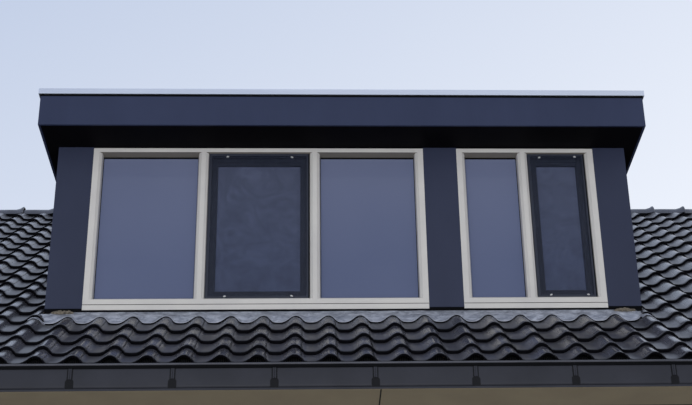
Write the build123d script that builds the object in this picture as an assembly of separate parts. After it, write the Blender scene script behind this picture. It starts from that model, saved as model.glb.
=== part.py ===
from build123d import *
import math
import os

# Flat roofed dormer window on the bay of tiled roof that carries it.
# X runs along the eaves, Y into the house, Z up, all in millimetres.
# The origin is the middle of the wall plate's underside.

# Main roof
roof_pitch = 35.0
bay_side = 1918.0
tile_cover = 240.0
tile_gauge = 350.0
eaves_gauge = 267.0
tile_headlap = 70.0
tile_thickness = 19.0
tile_wave = 45.0
roll_offset = 97.0
side_courses = 17
back_courses = 7
bay_top_margin = 5.0
wave_steps = 6
wave_sharpness = 1.2
tile_side_gap = 25.0
tile_field_joint = 0.5
tile_seat = 0.3
first_nose = 375.0
batten_width = 38.0
batten_height = 25.0
counter_batten_width = 45.0
counter_batten_height = 20.0
roof_deck_thickness = 18.0
rafter_width = 60.0
rafter_depth = 170.0
rafter_spacing = 600.0
trimmer_thickness = 98.0
fillet_width = 34.0
plate_width = 100.0
plate_height = 75.0
heel_height = 172.0
tail_reach = 189.0

# Eaves
eaves_board_thickness = 18.0
eaves_soffit_thickness = 12.0
eaves_joint_x = 178.0
eaves_joint_gap = 4.0
gutter_width = 170.0
gutter_height = 168.0
gutter_wall = 3.0
gutter_top = 118.0
gutter_bead_radius = 10.0
bracket_width = 25.0
bracket_thickness = 4.0
bracket_first_x = -3755.0
bracket_spacing = 650.0

# Dormer front
facade_y = 920.0
dormer_width = 4500.0
pier_width = 800.0 / 3
right_window_width = 1100.0
window_shift = 8.0
window_height = 1357.0
sill_height = 43.0
sill_gap = 33.85
rail_height = 55.0
head_height = 42.0
stile_width = 70.0
mullion_width = 85.0
opening_light_extra = 40.0
frame_depth = 114.0
curb_setback = 15.0
left_light_count = 3
right_light_count = 2
opening_light = 1
glass_setback = 72.0
glass_thickness = 24.0
glass_rebate = 12.0
bead_depth = 18.0
sash_setback = 44.0
sash_overlap = 13.0
sash_rebate = 15.0
sash_face = 66.0
sash_depth = 66.0
sash_glass_setback = 24.0
screen_setback = 20.0
screen_profile = 22.0
screen_depth = 11.0
screen_gap = 0.3
mesh_thickness = 1.0
panel_thickness = 10.0
panel_drop = 14.0
drip_height = 4.0
drip_reach = 5.0
cheek_thickness = 120.0
cladding_off = 150.0
lining_thickness = 12.0
window_board_thickness = 20.0
window_board_reach = 180.0

# Dormer roof
front_overhang = 350.0
side_overhang = 110.0
soffit_thickness = 9.0
fascia_thickness = 18.0
fascia_height = 271.0
joist_depth = 190.0
joist_width = 50.0
joist_spacing = 600.0
flat_deck_thickness = 18.0
back_deck_gap = 6.0
membrane_thickness = 3.0
membrane_lap = 80.0
kerb_width = 45.0
tile_clear_off = 130.0
trim_height = 47.0
trim_reach = 15.0
trim_wall = 2.0
trim_return = 60.0
trim_lip = 20.0

# Leadwork
apron_reach = 150.0
apron_fold = 35.0
apron_lap = 10.0
side_lead_end = 8.0
lead_thickness = 3.0
lead_clearance = 0.3
side_lead_width = 80.0

# Ridge
ridge_radius = 100.0
ridge_thickness = 12.0
ridge_flats = 8
ridge_tile_cover = 360.0
ridge_collar = 60.0
ridge_collar_radius = 122.0
ridge_collar_x = 4061.0
ridge_board_thickness = 22.0
ridge_seat = 0.7

# How far a cut reaches past the faces that it opens
cut_margin = 1.0

# Derived levels
pitch = math.radians(roof_pitch)
tan_pitch = math.tan(pitch)
cos_pitch = math.cos(pitch)
deck_level = plate_height + heel_height
half_dormer = dormer_width / 2
bay_left = -half_dormer - bay_side
tile_columns = round(-2 * bay_left / tile_cover)
bay_right = bay_left + tile_columns * tile_cover
half_roof = half_dormer + side_overhang
core_out = half_dormer - panel_thickness
cheek_inner = half_dormer - cheek_thickness
left_window_width = dormer_width - 3 * pier_width - right_window_width
left_window_x = -half_dormer + pier_width + window_shift
middle_pier_x = left_window_x + left_window_width
right_window_x = middle_pier_x + pier_width
right_pier_x = right_window_x + right_window_width
batten_top = counter_batten_height + batten_height
nose_lift = tile_thickness + tile_seat
seat_off = batten_top + tile_seat
tile_length = tile_gauge + tile_headlap
roll_top = batten_top + tile_seat + nose_lift / 2 + tile_thickness + tile_wave
curb_y = facade_y + curb_setback
frame_back = facade_y + frame_depth
half_plate = plate_width / 2
gutter_bottom = gutter_top - gutter_height
bracket_low = gutter_bottom - bracket_thickness


def deck_z(y, off=0.0):
    """Height at y of the plane that lies off above the main roof's deck."""
    return deck_level + tan_pitch * y + off / cos_pitch


def deck_y(z, off=0.0):
    """The y where the plane that lies off above the deck reaches height z."""
    return (z - deck_level - off / cos_pitch) / tan_pitch


sill_z = deck_z(facade_y, roll_top) + sill_gap
soffit_z = sill_z + sill_height + window_height
fascia_y = facade_y - front_overhang
joist_bottom = soffit_z + soffit_thickness
joist_top = joist_bottom + joist_depth
flat_top = joist_top + flat_deck_thickness
membrane_top = flat_top + membrane_thickness
fascia_top = soffit_z + fascia_height
back_start_y = deck_y(flat_top, -roof_deck_thickness) + back_deck_gap
nose_y_first = facade_y - first_nose
gauge_run = tile_gauge * cos_pitch
left_field_x = -half_dormer - tile_side_gap
right_field_x = half_dormer + tile_side_gap
tile_fall = tan_pitch - nose_lift / (cos_pitch * gauge_run)
tile_slope = math.atan(tile_fall)
tilted_run = math.cos(tile_slope)
tile_rise = nose_lift * tile_length * tilted_run / gauge_run


def nose_y(step):
    """The y of a course's nose, counted down the slope from the course under the apron."""
    return nose_y_first - step * gauge_run


def head_y(step):
    """The y of the same course's head."""
    return nose_y(step) + tile_length * tilted_run


bay_top_y = head_y(-side_courses) + bay_top_margin



def box(x0, x1, y0, y1, z0, z1):
    """A box between two corners."""
    return Pos((x0 + x1) / 2, (y0 + y1) / 2, (z0 + z1) / 2) * Box(x1 - x0, y1 - y0, z1 - z0)


def prism(points, x0, x1):
    """A side profile of y and z points drawn out along X from x0 to x1."""
    face = Plane.YZ.offset(x0) * make_face(Polyline(*points, close=True))
    return extrude(face, x1 - x0)


def write(name, *solids):
    """Writes one piece to its own file."""
    os.makedirs("parts", exist_ok=True)
    shapes = [solid for shape in solids for solid in shape.solids()]
    piece = shapes[0] if len(shapes) == 1 else Compound(shapes)
    piece.label = name
    export_step(piece, "parts/" + name + ".step")


def sloped_board(x0, x1, y0, y1, off0, off1):
    """A board that lies along the slope with plumb ends, from off0 to off1 above the deck."""
    points = [(y0, deck_z(y0, off0)), (y1, deck_z(y1, off0)), (y1, deck_z(y1, off1)), (y0, deck_z(y0, off1))]
    return prism(points, x0, x1)


def wave(x):
    """Height of the tile's wave at x, from 0 in the pan to its full height on the roll."""
    turn = 2 * math.pi * (x - roll_offset) / tile_cover
    return tile_wave * ((1 + math.cos(turn)) / 2) ** wave_sharpness


def wave_points(x0, x1):
    """The places across the roof where the wave bends, between x0 and x1."""
    step = tile_cover / wave_steps
    first = math.ceil((x0 + cut_margin - roll_offset) / step)
    last = math.floor((x1 - cut_margin - roll_offset) / step)
    return [x0] + [roll_offset + step * n for n in range(first, last + 1)] + [x1]


def wave_sheet(x0, x1, bottom, thickness):
    """The outline of a waved sheet, with the heights that it has in a plumb section of the slope."""
    across = wave_points(x0, x1)
    lower = [(x, (wave(x) + bottom) / cos_pitch) for x in across]
    upper = [(x, (wave(x) + bottom + thickness) / cos_pitch) for x in reversed(across)]
    return lower + upper


def lay_tiled(outline, y, off, y_end):
    """Draws an outline at y down to y_end with plumb ends, along the tiles' own fall."""
    plane = Plane(origin=(0, y, deck_z(y, off)), x_dir=(1, 0, 0), z_dir=(0, -1, 0))
    down = Vector(0, -math.cos(tile_slope), -math.sin(tile_slope))
    return extrude(plane * make_face(Polyline(*outline, close=True)), (y - y_end) / tilted_run, dir=down)


def course(x0, x1, nose, length):
    """One course of tiles, hung on its batten with its nose lifted over the course below."""
    head = nose + length * tilted_run
    return lay_tiled(wave_sheet(x0, x1, 0.0, tile_thickness), head, seat_off, nose)


def tile_field(x0, x1, nose, lift):
    """The courses from a nose up to the ridge as one waved sheet, its nose lifted off the battens."""
    head = head_y(-side_courses)
    drop = deck_z(head, seat_off) - deck_z(nose, seat_off + lift)
    plane = Plane(origin=(0, head, deck_z(head, seat_off)), x_dir=(1, 0, 0), z_dir=(0, -1, 0))
    face = plane * make_face(Polyline(*wave_sheet(x0, x1, 0.0, tile_thickness), close=True))
    run = Vector(0, nose - head, -drop)
    return extrude(face, run.length, dir=run.normalized())


def batten(x0, x1, head):
    """A tile batten just down the slope from a course's head."""
    return sloped_board(x0, x1, head - batten_width * cos_pitch, head, counter_batten_height, batten_top)


def rafter(x0, x1, y0, y1):
    """A rafter with plumb ends and, at the wall, a birdsmouth and a level foot over the eaves soffit."""
    timber = sloped_board(x0, x1, y0, y1, -roof_deck_thickness - rafter_depth, -roof_deck_thickness)
    if y0 > 0:
        return timber
    left = x0 - cut_margin
    right = x1 + cut_margin
    timber -= box(left, right, -half_plate, y1, -rafter_depth, plate_height)
    return timber - box(left, right, y0 - cut_margin, -half_plate, -rafter_depth, bracket_low)


def end_on_slope(y0, z0, z1, off, x0, x1):
    """A level board from y0 back to the plane that lies off above the deck, where it is cut to the slope."""
    return prism([(y0, z0), (deck_y(z0, off), z0), (deck_y(z1, off), z1), (y0, z1)], x0, x1)


def mirrored(solid):
    """The same piece on the dormer's other side."""
    return mirror(solid, Plane.YZ)


# Main roof timbers
half_rafter = rafter_width / 2
tail_y = -tail_reach
deck_off = -roof_deck_thickness
low_off = deck_off - rafter_depth
back_trimmer_y = deck_y(joist_bottom, deck_off)
back_trimmer_end = back_trimmer_y + trimmer_thickness
jack_count = math.floor((2 * cheek_inner - 2 * rafter_width) / rafter_spacing)
jack_x = [(n - jack_count / 2) * rafter_spacing for n in range(jack_count + 1)]
write("wall_plate", box(bay_left, bay_right, -half_plate, half_plate, 0, plate_height))
left_edge_rafter = rafter(bay_left, bay_left + rafter_width, tail_y, bay_top_y)
right_edge_rafter = rafter(bay_right - rafter_width, bay_right, tail_y, bay_top_y)
left_trimmer_rafter = rafter(-half_dormer, -cheek_inner, tail_y, bay_top_y)
right_trimmer_rafter = mirrored(left_trimmer_rafter)
left_gap = -half_dormer - bay_left - rafter_width
right_gap = bay_right - rafter_width - half_dormer
left_bays = round(left_gap / rafter_spacing)
right_bays = round(right_gap / rafter_spacing)
left_x = [-half_dormer - left_gap * n / left_bays for n in range(1, left_bays)]
right_x = [half_dormer + right_gap * n / right_bays for n in range(1, right_bays)]
side_rafters = [rafter(x - half_rafter, x + half_rafter, tail_y, bay_top_y) for x in left_x + right_x]
edge_rafters = [left_edge_rafter, left_trimmer_rafter, right_trimmer_rafter, right_edge_rafter]
write("long_rafters", *edge_rafters, *side_rafters)
jacks = [rafter(x - half_rafter, x + half_rafter, tail_y, curb_y) for x in jack_x]
jacks += [rafter(x - half_rafter, x + half_rafter, back_trimmer_end, bay_top_y) for x in jack_x]
write("jack_rafters", *jacks)
front_trimmer = sloped_board(-cheek_inner, cheek_inner, curb_y, frame_back, low_off, deck_off)
back_trimmer = sloped_board(-cheek_inner, cheek_inner, back_trimmer_y, back_trimmer_end, low_off, deck_off)
write("trimmers", front_trimmer, back_trimmer)

# Main roof deck, counter battens and tile battens
write("front_roof_deck", sloped_board(-half_dormer, half_dormer, tail_y, frame_back, deck_off, 0))
left_deck = sloped_board(bay_left, -half_dormer, tail_y, bay_top_y, deck_off, 0)
right_deck = sloped_board(half_dormer, bay_right, tail_y, bay_top_y, deck_off, 0)
write("side_roof_decks", left_deck, right_deck)
write("back_roof_deck", sloped_board(-half_dormer, half_dormer, back_start_y, bay_top_y, deck_off, 0))
fillet_back_y = tail_y + fillet_width
half_counter = counter_batten_width / 2
upstand_y = nose_y(back_courses - 1 - side_courses) + membrane_lap
lead_edge = half_dormer + side_lead_width
side_counter_x = [bay_left + half_rafter, -lead_edge - half_counter, *left_x]
side_counter_x += [bay_right - half_rafter, lead_edge + half_counter, *right_x]
counter_runs = [(x, fillet_back_y, curb_y) for x in jack_x]
counter_runs += [(x, upstand_y, bay_top_y) for x in jack_x]
counter_runs += [(x, fillet_back_y, bay_top_y) for x in side_counter_x]
counters = [
    sloped_board(x - half_counter, x + half_counter, y0, y1, 0, counter_batten_height)
    for x, y0, y1 in counter_runs
]
write("counter_battens", *counters)
eaves_nose_y = nose_y(2) - eaves_gauge * cos_pitch
eaves_length = tile_length - (tile_gauge - eaves_gauge)
eaves_head_y = eaves_nose_y + eaves_length * tilted_run
battens = [batten(bay_left, bay_right, head) for head in (head_y(0), head_y(1), head_y(2), eaves_head_y)]
for step in range(1, side_courses + 1):
    battens.append(batten(bay_left, -half_dormer, head_y(-step)))
    battens.append(batten(half_dormer, bay_right, head_y(-step)))
back_steps = [side_courses - n for n in range(back_courses)]
battens += [batten(jack_x[0] - half_rafter, jack_x[-1] + half_rafter, head_y(-step)) for step in back_steps]
fillet_lift = (tan_pitch - tile_fall) * (eaves_head_y - fillet_back_y) * cos_pitch
battens.append(sloped_board(bay_left, bay_right, tail_y, fillet_back_y, 0, batten_top + fillet_lift))
write("tile_battens", *battens)

# Tiles
front_rows = [(nose_y(1), tile_length), (nose_y(2), tile_length), (eaves_nose_y, eaves_length)]
front_courses = [course(bay_left, bay_right, nose, length) for nose, length in front_rows]
apron_top_y = facade_y - tile_field_joint
top_length = (apron_top_y - nose_y(0)) / tilted_run
front_courses.append(course(left_field_x, right_field_x, nose_y(0), top_length))
write("front_tiles", *front_courses)
left_edge = left_field_x - tile_field_joint
right_edge = right_field_x + tile_field_joint
corner_tiles = [course(bay_left, left_edge, nose_y(0), tile_length)]
corner_tiles.append(course(right_edge, bay_right, nose_y(0), tile_length))
left_field = tile_field(bay_left, left_edge, nose_y(-1), tile_rise)
right_field = tile_field(right_edge, bay_right, nose_y(-1), tile_rise)
write("side_tiles", *corner_tiles, left_field, right_field)
write("back_tiles", tile_field(left_field_x, right_field_x, nose_y(back_courses - 1 - side_courses), 0.0))

# Ridge
ridge_inner = ridge_radius - ridge_thickness
ridge_foot_y = bay_top_y - ridge_inner
ridge_axis_z = deck_z(ridge_foot_y, seat_off + tile_thickness + tile_wave) + ridge_seat
ridge_back = bay_top_y + ridge_board_thickness


def half_ring(x0, x1, outer, inner):
    """A half round cap along the ridge, open below, drawn with flats."""
    turns = [math.pi * n / ridge_flats for n in range(ridge_flats + 1)]
    over = [(bay_top_y + outer * math.cos(a), ridge_axis_z + outer * math.sin(a)) for a in turns]
    under = [(bay_top_y + inner * math.cos(a), ridge_axis_z + inner * math.sin(a)) for a in reversed(turns)]
    return prism(over + under, x0, x1)


ridge_cap = half_ring(bay_left, bay_right, ridge_radius, ridge_inner)
collar_end = ridge_collar_x
while collar_end > bay_left + ridge_collar:
    ridge_cap += half_ring(collar_end - ridge_collar, collar_end, ridge_collar_radius, ridge_inner)
    collar_end -= ridge_tile_cover
write("ridge_tiles", ridge_cap)
ridge_low = deck_z(bay_top_y, low_off)
ridge_high = ridge_axis_z + ridge_inner * math.cos(math.pi / ridge_flats)
write("ridge_board", box(bay_left, bay_right, bay_top_y, ridge_back, ridge_low, ridge_high))

# Eaves board and gutter
board_y = tail_y - eaves_board_thickness
board_top = deck_z(tail_y)
joint_left = eaves_joint_x - eaves_joint_gap / 2
joint_right = eaves_joint_x + eaves_joint_gap / 2
left_board = box(bay_left, joint_left, board_y, tail_y, bracket_low, board_top)
right_board = box(joint_right, bay_right, board_y, tail_y, bracket_low, board_top)
write("eaves_board", left_board, right_board)
gutter_back_y = board_y - bracket_thickness
gutter_front_y = gutter_back_y - gutter_width
channel = box(bay_left, bay_right, gutter_front_y, gutter_back_y, gutter_bottom, gutter_top)
hollow = box(
    bay_left + gutter_wall,
    bay_right - gutter_wall,
    gutter_front_y + gutter_wall,
    gutter_back_y - gutter_wall,
    gutter_bottom + gutter_wall,
    gutter_top + cut_margin,
)
bead_y = gutter_front_y + gutter_bead_radius
bead_plane = Plane.YZ.offset(bay_left)
bead_face = bead_plane * Pos(bead_y, gutter_top) * RegularPolygon(gutter_bead_radius, 8)
bead = extrude(bead_face, bay_right - bay_left)
write("gutter", channel - hollow + bead)
brackets = []
bracket_x = bracket_first_x
while bracket_x + bracket_width < bay_right:
    x0 = bracket_x - bracket_width / 2
    x1 = bracket_x + bracket_width / 2
    strap_front = gutter_front_y - bracket_thickness
    strap = [
        (strap_front, gutter_top - 2 * gutter_bead_radius),
        (strap_front, bracket_low),
        (board_y, bracket_low),
        (board_y, gutter_top),
        (gutter_back_y, gutter_top),
        (gutter_back_y, gutter_bottom),
        (gutter_front_y, gutter_bottom),
        (gutter_front_y, gutter_top - 2 * gutter_bead_radius),
    ]
    brackets.append(prism(strap, x0, x1))
    bracket_x += bracket_spacing
write("gutter_brackets", *brackets)
soffit_low = bracket_low - eaves_soffit_thickness
left_eaves = box(bay_left, joint_left, gutter_front_y, -half_plate, soffit_low, bracket_low)
right_eaves = box(joint_right, bay_right, gutter_front_y, -half_plate, soffit_low, bracket_low)
write("eaves_soffit", left_eaves, right_eaves)

# Dormer walls
write("front_curb", prism(
    [(curb_y, deck_z(curb_y)), (frame_back, deck_z(frame_back)), (frame_back, sill_z), (curb_y, sill_z)],
    -core_out,
    core_out,
))
core_y = facade_y + panel_thickness
drip_z = sill_z + panel_drop
piers = [(-half_dormer, left_window_x), (middle_pier_x, right_window_x), (right_pier_x, half_dormer)]
posts = []
panels = []
drips = []
for x0, x1 in piers:
    post_x0 = max(x0, -core_out)
    post_x1 = min(x1, core_out)
    panels.append(box(x0, x1, facade_y, core_y, drip_z, soffit_z))
    posts.append(box(post_x0, post_x1, core_y, frame_back, sill_z, soffit_z))
    drips.append(box(x0, x1, facade_y - drip_reach, core_y, drip_z - drip_height, drip_z))
write("pier_posts", *posts)
write("pier_panels", *panels)
write("panel_drip_trims", *drips)
write("front_header", box(-half_dormer, half_dormer, facade_y, frame_back, soffit_z, joist_top))
cheek_core = prism(
    [
        (frame_back, deck_z(frame_back, deck_off)),
        (deck_y(joist_top, deck_off), joist_top),
        (frame_back, joist_top),
    ],
    cheek_inner,
    core_out,
)
write("cheek_cores", cheek_core, mirrored(cheek_core))
cladding = prism(
    [
        (core_y, deck_z(core_y, cladding_off)),
        (deck_y(soffit_z, cladding_off), soffit_z),
        (core_y, soffit_z),
    ],
    core_out,
    half_dormer,
)
write("cheek_cladding", cladding, mirrored(cladding))
lining = prism(
    [
        (frame_back, deck_z(frame_back, deck_off)),
        (deck_y(joist_bottom, deck_off), joist_bottom),
        (frame_back, joist_bottom),
    ],
    cheek_inner - lining_thickness,
    cheek_inner,
)
write("cheek_linings", lining, mirrored(lining))
lining_half = cheek_inner - lining_thickness
ceiling_z = joist_bottom - lining_thickness
write("ceiling_lining", box(-lining_half, lining_half, frame_back, back_trimmer_y, ceiling_z, joist_bottom))
board_z = sill_z + sill_height + rail_height
front_lining_back = frame_back + lining_thickness
write("front_inner_lining", box(
    -lining_half, lining_half, frame_back, front_lining_back, deck_z(frame_back, deck_off), board_z
))
board_back = frame_back + window_board_reach
board_high = board_z + window_board_thickness
write("window_board", box(-lining_half, lining_half, frame_back, board_back, board_z, board_high))

# Windows
def window_frame(x0, width, count):
    """A frame with its lights cut through it; the opening light's rebate takes a sash."""
    z0 = sill_z + sill_height
    frame = box(x0, x0 + width, facade_y, frame_back, z0, z0 + window_height)
    for n, (a, b, low, high) in enumerate(lights(x0, width, count)):
        frame -= box(a, b, facade_y - cut_margin, frame_back + cut_margin, low, high)
        opens = n == opening_light
        setback = sash_setback if opens else glass_setback
        grow = sash_rebate if opens else glass_rebate
        rebate_y = facade_y + setback
        frame -= box(a - grow, b + grow, rebate_y, frame_back + cut_margin, low - grow, high + grow)
    return frame


def lights(x0, width, count):
    """The clear openings of a window's lights, as left, right, bottom and top."""
    clear = (width - 2 * stile_width - (count - 1) * mullion_width - opening_light_extra) / count
    low = sill_z + sill_height + rail_height
    high = sill_z + sill_height + window_height - head_height
    found = []
    left = x0 + stile_width
    for n in range(count):
        right = left + clear + (opening_light_extra if n == opening_light else 0)
        found.append((left, right, low, high))
        left = right + mullion_width
    return found


def upright(a, b, low, high, y0, y1):
    """An upright plate from its left, right, bottom and top."""
    return box(a, b, y0, y1, low, high)


def ring(a, b, low, high, y0, y1, width):
    """A rectangular frame of one width."""
    hole = upright(a + width, b - width, low + width, high - width, y0 - cut_margin, y1 + cut_margin)
    return upright(a, b, low, high, y0, y1) - hole


windows = [
    ("left", left_window_x, left_window_width, left_light_count),
    ("right", right_window_x, right_window_width, right_light_count),
]
sills = []
panes = []
sash_panes = []
beads = []
screen_frames = []
meshes = []
for side, x0, width, count in windows:
    write(side + "_window_frame", window_frame(x0, width, count))
    sills.append(box(x0, x0 + width, facade_y, frame_back, sill_z, sill_z + sill_height))
    for n, (a, b, low, high) in enumerate(lights(x0, width, count)):
        if n == opening_light:
            grow = sash_overlap
            sash_y = facade_y + sash_setback
            face = sash_face + grow
            sash = ring(a - grow, b + grow, low - grow, high + grow, sash_y, sash_y + sash_depth, face)
            inner = sash_face - glass_rebate
            pane_y = sash_y + sash_glass_setback
            sash_end = sash_y + sash_depth + cut_margin
            pocket = box(a + inner, b - inner, pane_y, sash_end, low + inner, high - inner)
            write(side + "_sash", sash - pocket)
            bead_y = pane_y + glass_thickness
            pane_edge = (a + inner, b - inner, low + inner, high - inner)
            sash_panes.append(upright(*pane_edge, pane_y, bead_y))
            beads.append(ring(*pane_edge, bead_y, bead_y + bead_depth, glass_rebate))
            edge = screen_gap
            screen_y = facade_y + screen_setback
            screen_args = (a + edge, b - edge, low + edge, high - edge)
            screen_frames.append(ring(*screen_args, screen_y, screen_y + screen_depth, screen_profile))
            inset = edge + screen_profile
            mesh_y = screen_y + screen_depth / 2
            mesh_edge = (a + inset, b - inset, low + inset, high - inset)
            meshes.append(upright(*mesh_edge, mesh_y, mesh_y + mesh_thickness))
        else:
            grow = glass_rebate
            pane_y = facade_y + glass_setback
            bead_y = pane_y + glass_thickness
            pane_edge = (a - grow, b + grow, low - grow, high + grow)
            panes.append(upright(*pane_edge, pane_y, bead_y))
            beads.append(ring(*pane_edge, bead_y, bead_y + bead_depth, grow))
write("window_sills", *sills)
write("fixed_panes", *panes)
write("sash_panes", *sash_panes)
write("glazing_beads", *beads)
write("screen_frames", *screen_frames)
write("screen_meshes", *meshes)

# Dormer roof
inner_front_y = fascia_y + fascia_thickness
edge_x = half_roof - fascia_thickness
write("front_soffit", box(-edge_x, edge_x, inner_front_y, facade_y, soffit_z, joist_bottom))
side_soffit = end_on_slope(facade_y, soffit_z, joist_bottom, tile_clear_off, half_dormer, edge_x)
write("side_soffits", side_soffit, mirrored(side_soffit))
edge_joist_y = inner_front_y + joist_width
verge_x = edge_x - joist_width
verge = end_on_slope(edge_joist_y, joist_bottom, joist_top, tile_clear_off, verge_x, edge_x)
write("verge_joists", verge, mirrored(verge))
write("front_edge_joist", box(-edge_x, edge_x, inner_front_y, edge_joist_y, joist_bottom, joist_top))
half_joist = joist_width / 2
joist_count = math.floor((2 * cheek_inner - 2 * joist_width) / joist_spacing)
joist_x = [(n - joist_count / 2) * joist_spacing for n in range(joist_count + 1)]
joists = [
    box(x - half_joist, x + half_joist, edge_joist_y, facade_y, joist_bottom, joist_top)
    for x in joist_x
]
joists += [
    end_on_slope(frame_back, joist_bottom, joist_top, deck_off, x - half_joist, x + half_joist)
    for x in joist_x
]
write("flat_roof_joists", *joists)
flat_deck = end_on_slope(inner_front_y, joist_top, flat_top, deck_off, -half_dormer, half_dormer)
flat_deck += end_on_slope(inner_front_y, joist_top, flat_top, tile_clear_off, -edge_x, -half_dormer)
flat_deck += end_on_slope(inner_front_y, joist_top, flat_top, tile_clear_off, half_dormer, edge_x)
write("flat_roof_deck", flat_deck)
kerb_x = edge_x - kerb_width
kerb = box(-edge_x, edge_x, inner_front_y, inner_front_y + kerb_width, flat_top, fascia_top)
for x0, x1 in ((-edge_x, -kerb_x), (kerb_x, edge_x)):
    kerb += end_on_slope(inner_front_y, flat_top, fascia_top, tile_clear_off, x0, x1)
write("roof_kerb", kerb)
membrane_y = inner_front_y + kerb_width
membrane = end_on_slope(membrane_y, flat_top, membrane_top, tile_clear_off, -kerb_x, -half_dormer)
membrane += end_on_slope(membrane_y, flat_top, membrane_top, tile_clear_off, half_dormer, kerb_x)
bend_y = deck_y(flat_top)
membrane += prism(
    [
        (membrane_y, flat_top),
        (bend_y, flat_top),
        (upstand_y, deck_z(upstand_y)),
        (upstand_y, deck_z(upstand_y, membrane_thickness)),
        (deck_y(membrane_top, membrane_thickness), membrane_top),
        (membrane_y, membrane_top),
    ],
    -half_dormer,
    half_dormer,
)
write("roof_membrane", membrane)
write("front_fascia", box(-half_roof, half_roof, fascia_y, inner_front_y, soffit_z, fascia_top))
side_fascia = end_on_slope(inner_front_y, soffit_z, fascia_top, tile_clear_off, edge_x, half_roof)
write("right_fascia", side_fascia)
write("left_fascia", mirrored(side_fascia))


def trim_section(face):
    """The edge profile's outline beside the fascia: outwards distance and height."""
    lip = trim_reach
    return [
        (lip, 0),
        (lip, trim_height),
        (lip - trim_lip, trim_height),
        (lip - trim_lip, trim_height - trim_wall),
        (lip - trim_wall, trim_height - trim_wall),
        (lip - trim_wall, trim_wall),
        (-face, trim_wall),
        (-face, 0),
    ]


front_outline = [(fascia_y - out, fascia_top + up) for out, up in trim_section(trim_return)]
trim = prism(front_outline, -half_roof - trim_reach, half_roof + trim_reach)
trim_back_y = deck_y(fascia_top, tile_clear_off)
side_outline = [(half_roof + out, fascia_top + up) for out, up in trim_section(trim_return)]
side_face = Plane.XZ.offset(-(fascia_y - trim_reach)) * make_face(Polyline(*side_outline, close=True))
side_trim = extrude(side_face, -(trim_back_y - fascia_y + trim_reach))
trim += side_trim
trim += mirrored(side_trim)
write("roof_edge_trim", trim)

# Leadwork
lead_under = tile_thickness + lead_clearance
apron_outline = wave_sheet(left_field_x, right_field_x, lead_under, lead_thickness)
fold_y = facade_y - apron_fold
fold_off = seat_off + (tan_pitch - tile_fall) * (apron_top_y - fold_y) * cos_pitch
apron = lay_tiled(apron_outline, fold_y, fold_off, facade_y - apron_reach)
crest_low = (tile_wave + lead_under) / cos_pitch
crest_high = (tile_wave + lead_under + lead_thickness) / cos_pitch
band_outline = [
    (left_field_x, crest_low),
    (right_field_x, crest_low),
    (right_field_x, crest_high),
    (left_field_x, crest_high),
]
curb_off = seat_off - (tan_pitch - tile_fall) * (curb_y - apron_top_y) * cos_pitch
apron += lay_tiled(band_outline, curb_y, curb_off, fold_y - apron_lap)
upstand_low = deck_z(curb_y, curb_off) + crest_low - lead_thickness
apron += box(-core_out, core_out, curb_y - lead_thickness, curb_y, upstand_low, sill_z)
write("lead_apron", apron)
upstand_end_y = deck_y(joist_top, cladding_off) - side_lead_end
side_lead = sloped_board(core_out, lead_edge, curb_y, upstand_end_y, 0, lead_thickness)
side_lead += sloped_board(half_dormer, lead_edge, upstand_end_y, upstand_y, 0, lead_thickness)
side_lead += sloped_board(core_out, core_out + lead_thickness, curb_y, upstand_end_y, 0, cladding_off)
write("side_flashings", side_lead, mirrored(side_lead))
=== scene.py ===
import bmesh
import bpy
import math
from mathutils import Matrix, Vector, noise


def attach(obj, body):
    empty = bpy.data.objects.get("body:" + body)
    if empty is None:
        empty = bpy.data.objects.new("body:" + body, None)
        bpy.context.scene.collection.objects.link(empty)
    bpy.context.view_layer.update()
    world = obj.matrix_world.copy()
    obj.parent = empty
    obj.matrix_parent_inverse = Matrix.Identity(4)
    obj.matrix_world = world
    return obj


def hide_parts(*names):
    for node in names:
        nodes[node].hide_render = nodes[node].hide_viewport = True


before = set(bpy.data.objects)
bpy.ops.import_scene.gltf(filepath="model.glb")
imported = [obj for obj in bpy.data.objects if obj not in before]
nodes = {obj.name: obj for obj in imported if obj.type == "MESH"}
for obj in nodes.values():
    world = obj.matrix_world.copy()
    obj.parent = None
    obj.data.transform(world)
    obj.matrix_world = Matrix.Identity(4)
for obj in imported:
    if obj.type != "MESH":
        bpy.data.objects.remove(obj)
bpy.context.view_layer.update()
print("frame loaded:", len(nodes), "nodes")

# The roof's own rule in metres, as the solids have it
roof = {
    "tan": math.tan(math.radians(35)),
    "cos": math.cos(math.radians(35)),
    "deckLevel": 0.247,   # deck height above the wall plate's underside
    "seat": 0.0453,       # tile underside above the deck
    "fall": 0.618028,     # the tiles lie a little flatter than the deck
    "cover": 0.240,       # one tile column
    "gauge": 0.286703,    # plan distance of two courses
    "waveHeight": 0.045,
    "waveCentre": 0.097,  # x of one roll
    "leftFlank": 1.6,     # how narrow the roll's left flank is
    "panFlank": 2.4,      # how flat the pan beside the lap is
    "lapEdge": 0.052,     # the roll's edge lies over the next tile here
    "lapFall": 0.52,      # share of its height that the roll has lost there
    "lapCurve": 2.2,
    "dressStep": 0.006,   # soft sheet follows the wave's mean over three such steps each way
    "thickness": 0.019,
    "tileRun": 0.357272,  # plan length of a tile
    "eavesRun": 0.286668,
    "firstNose": 0.545,   # nose of the course under the apron
    "eavesNose": -0.247118,
    "left": -4.168,
    "right": 4.232,
    "fieldEdge": 2.275,   # the roof tiles stop here beside the dormer
}


def roofZ(y, off=0.0):
    return roof["deckLevel"] + roof["tan"] * y + off / roof["cos"]


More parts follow.
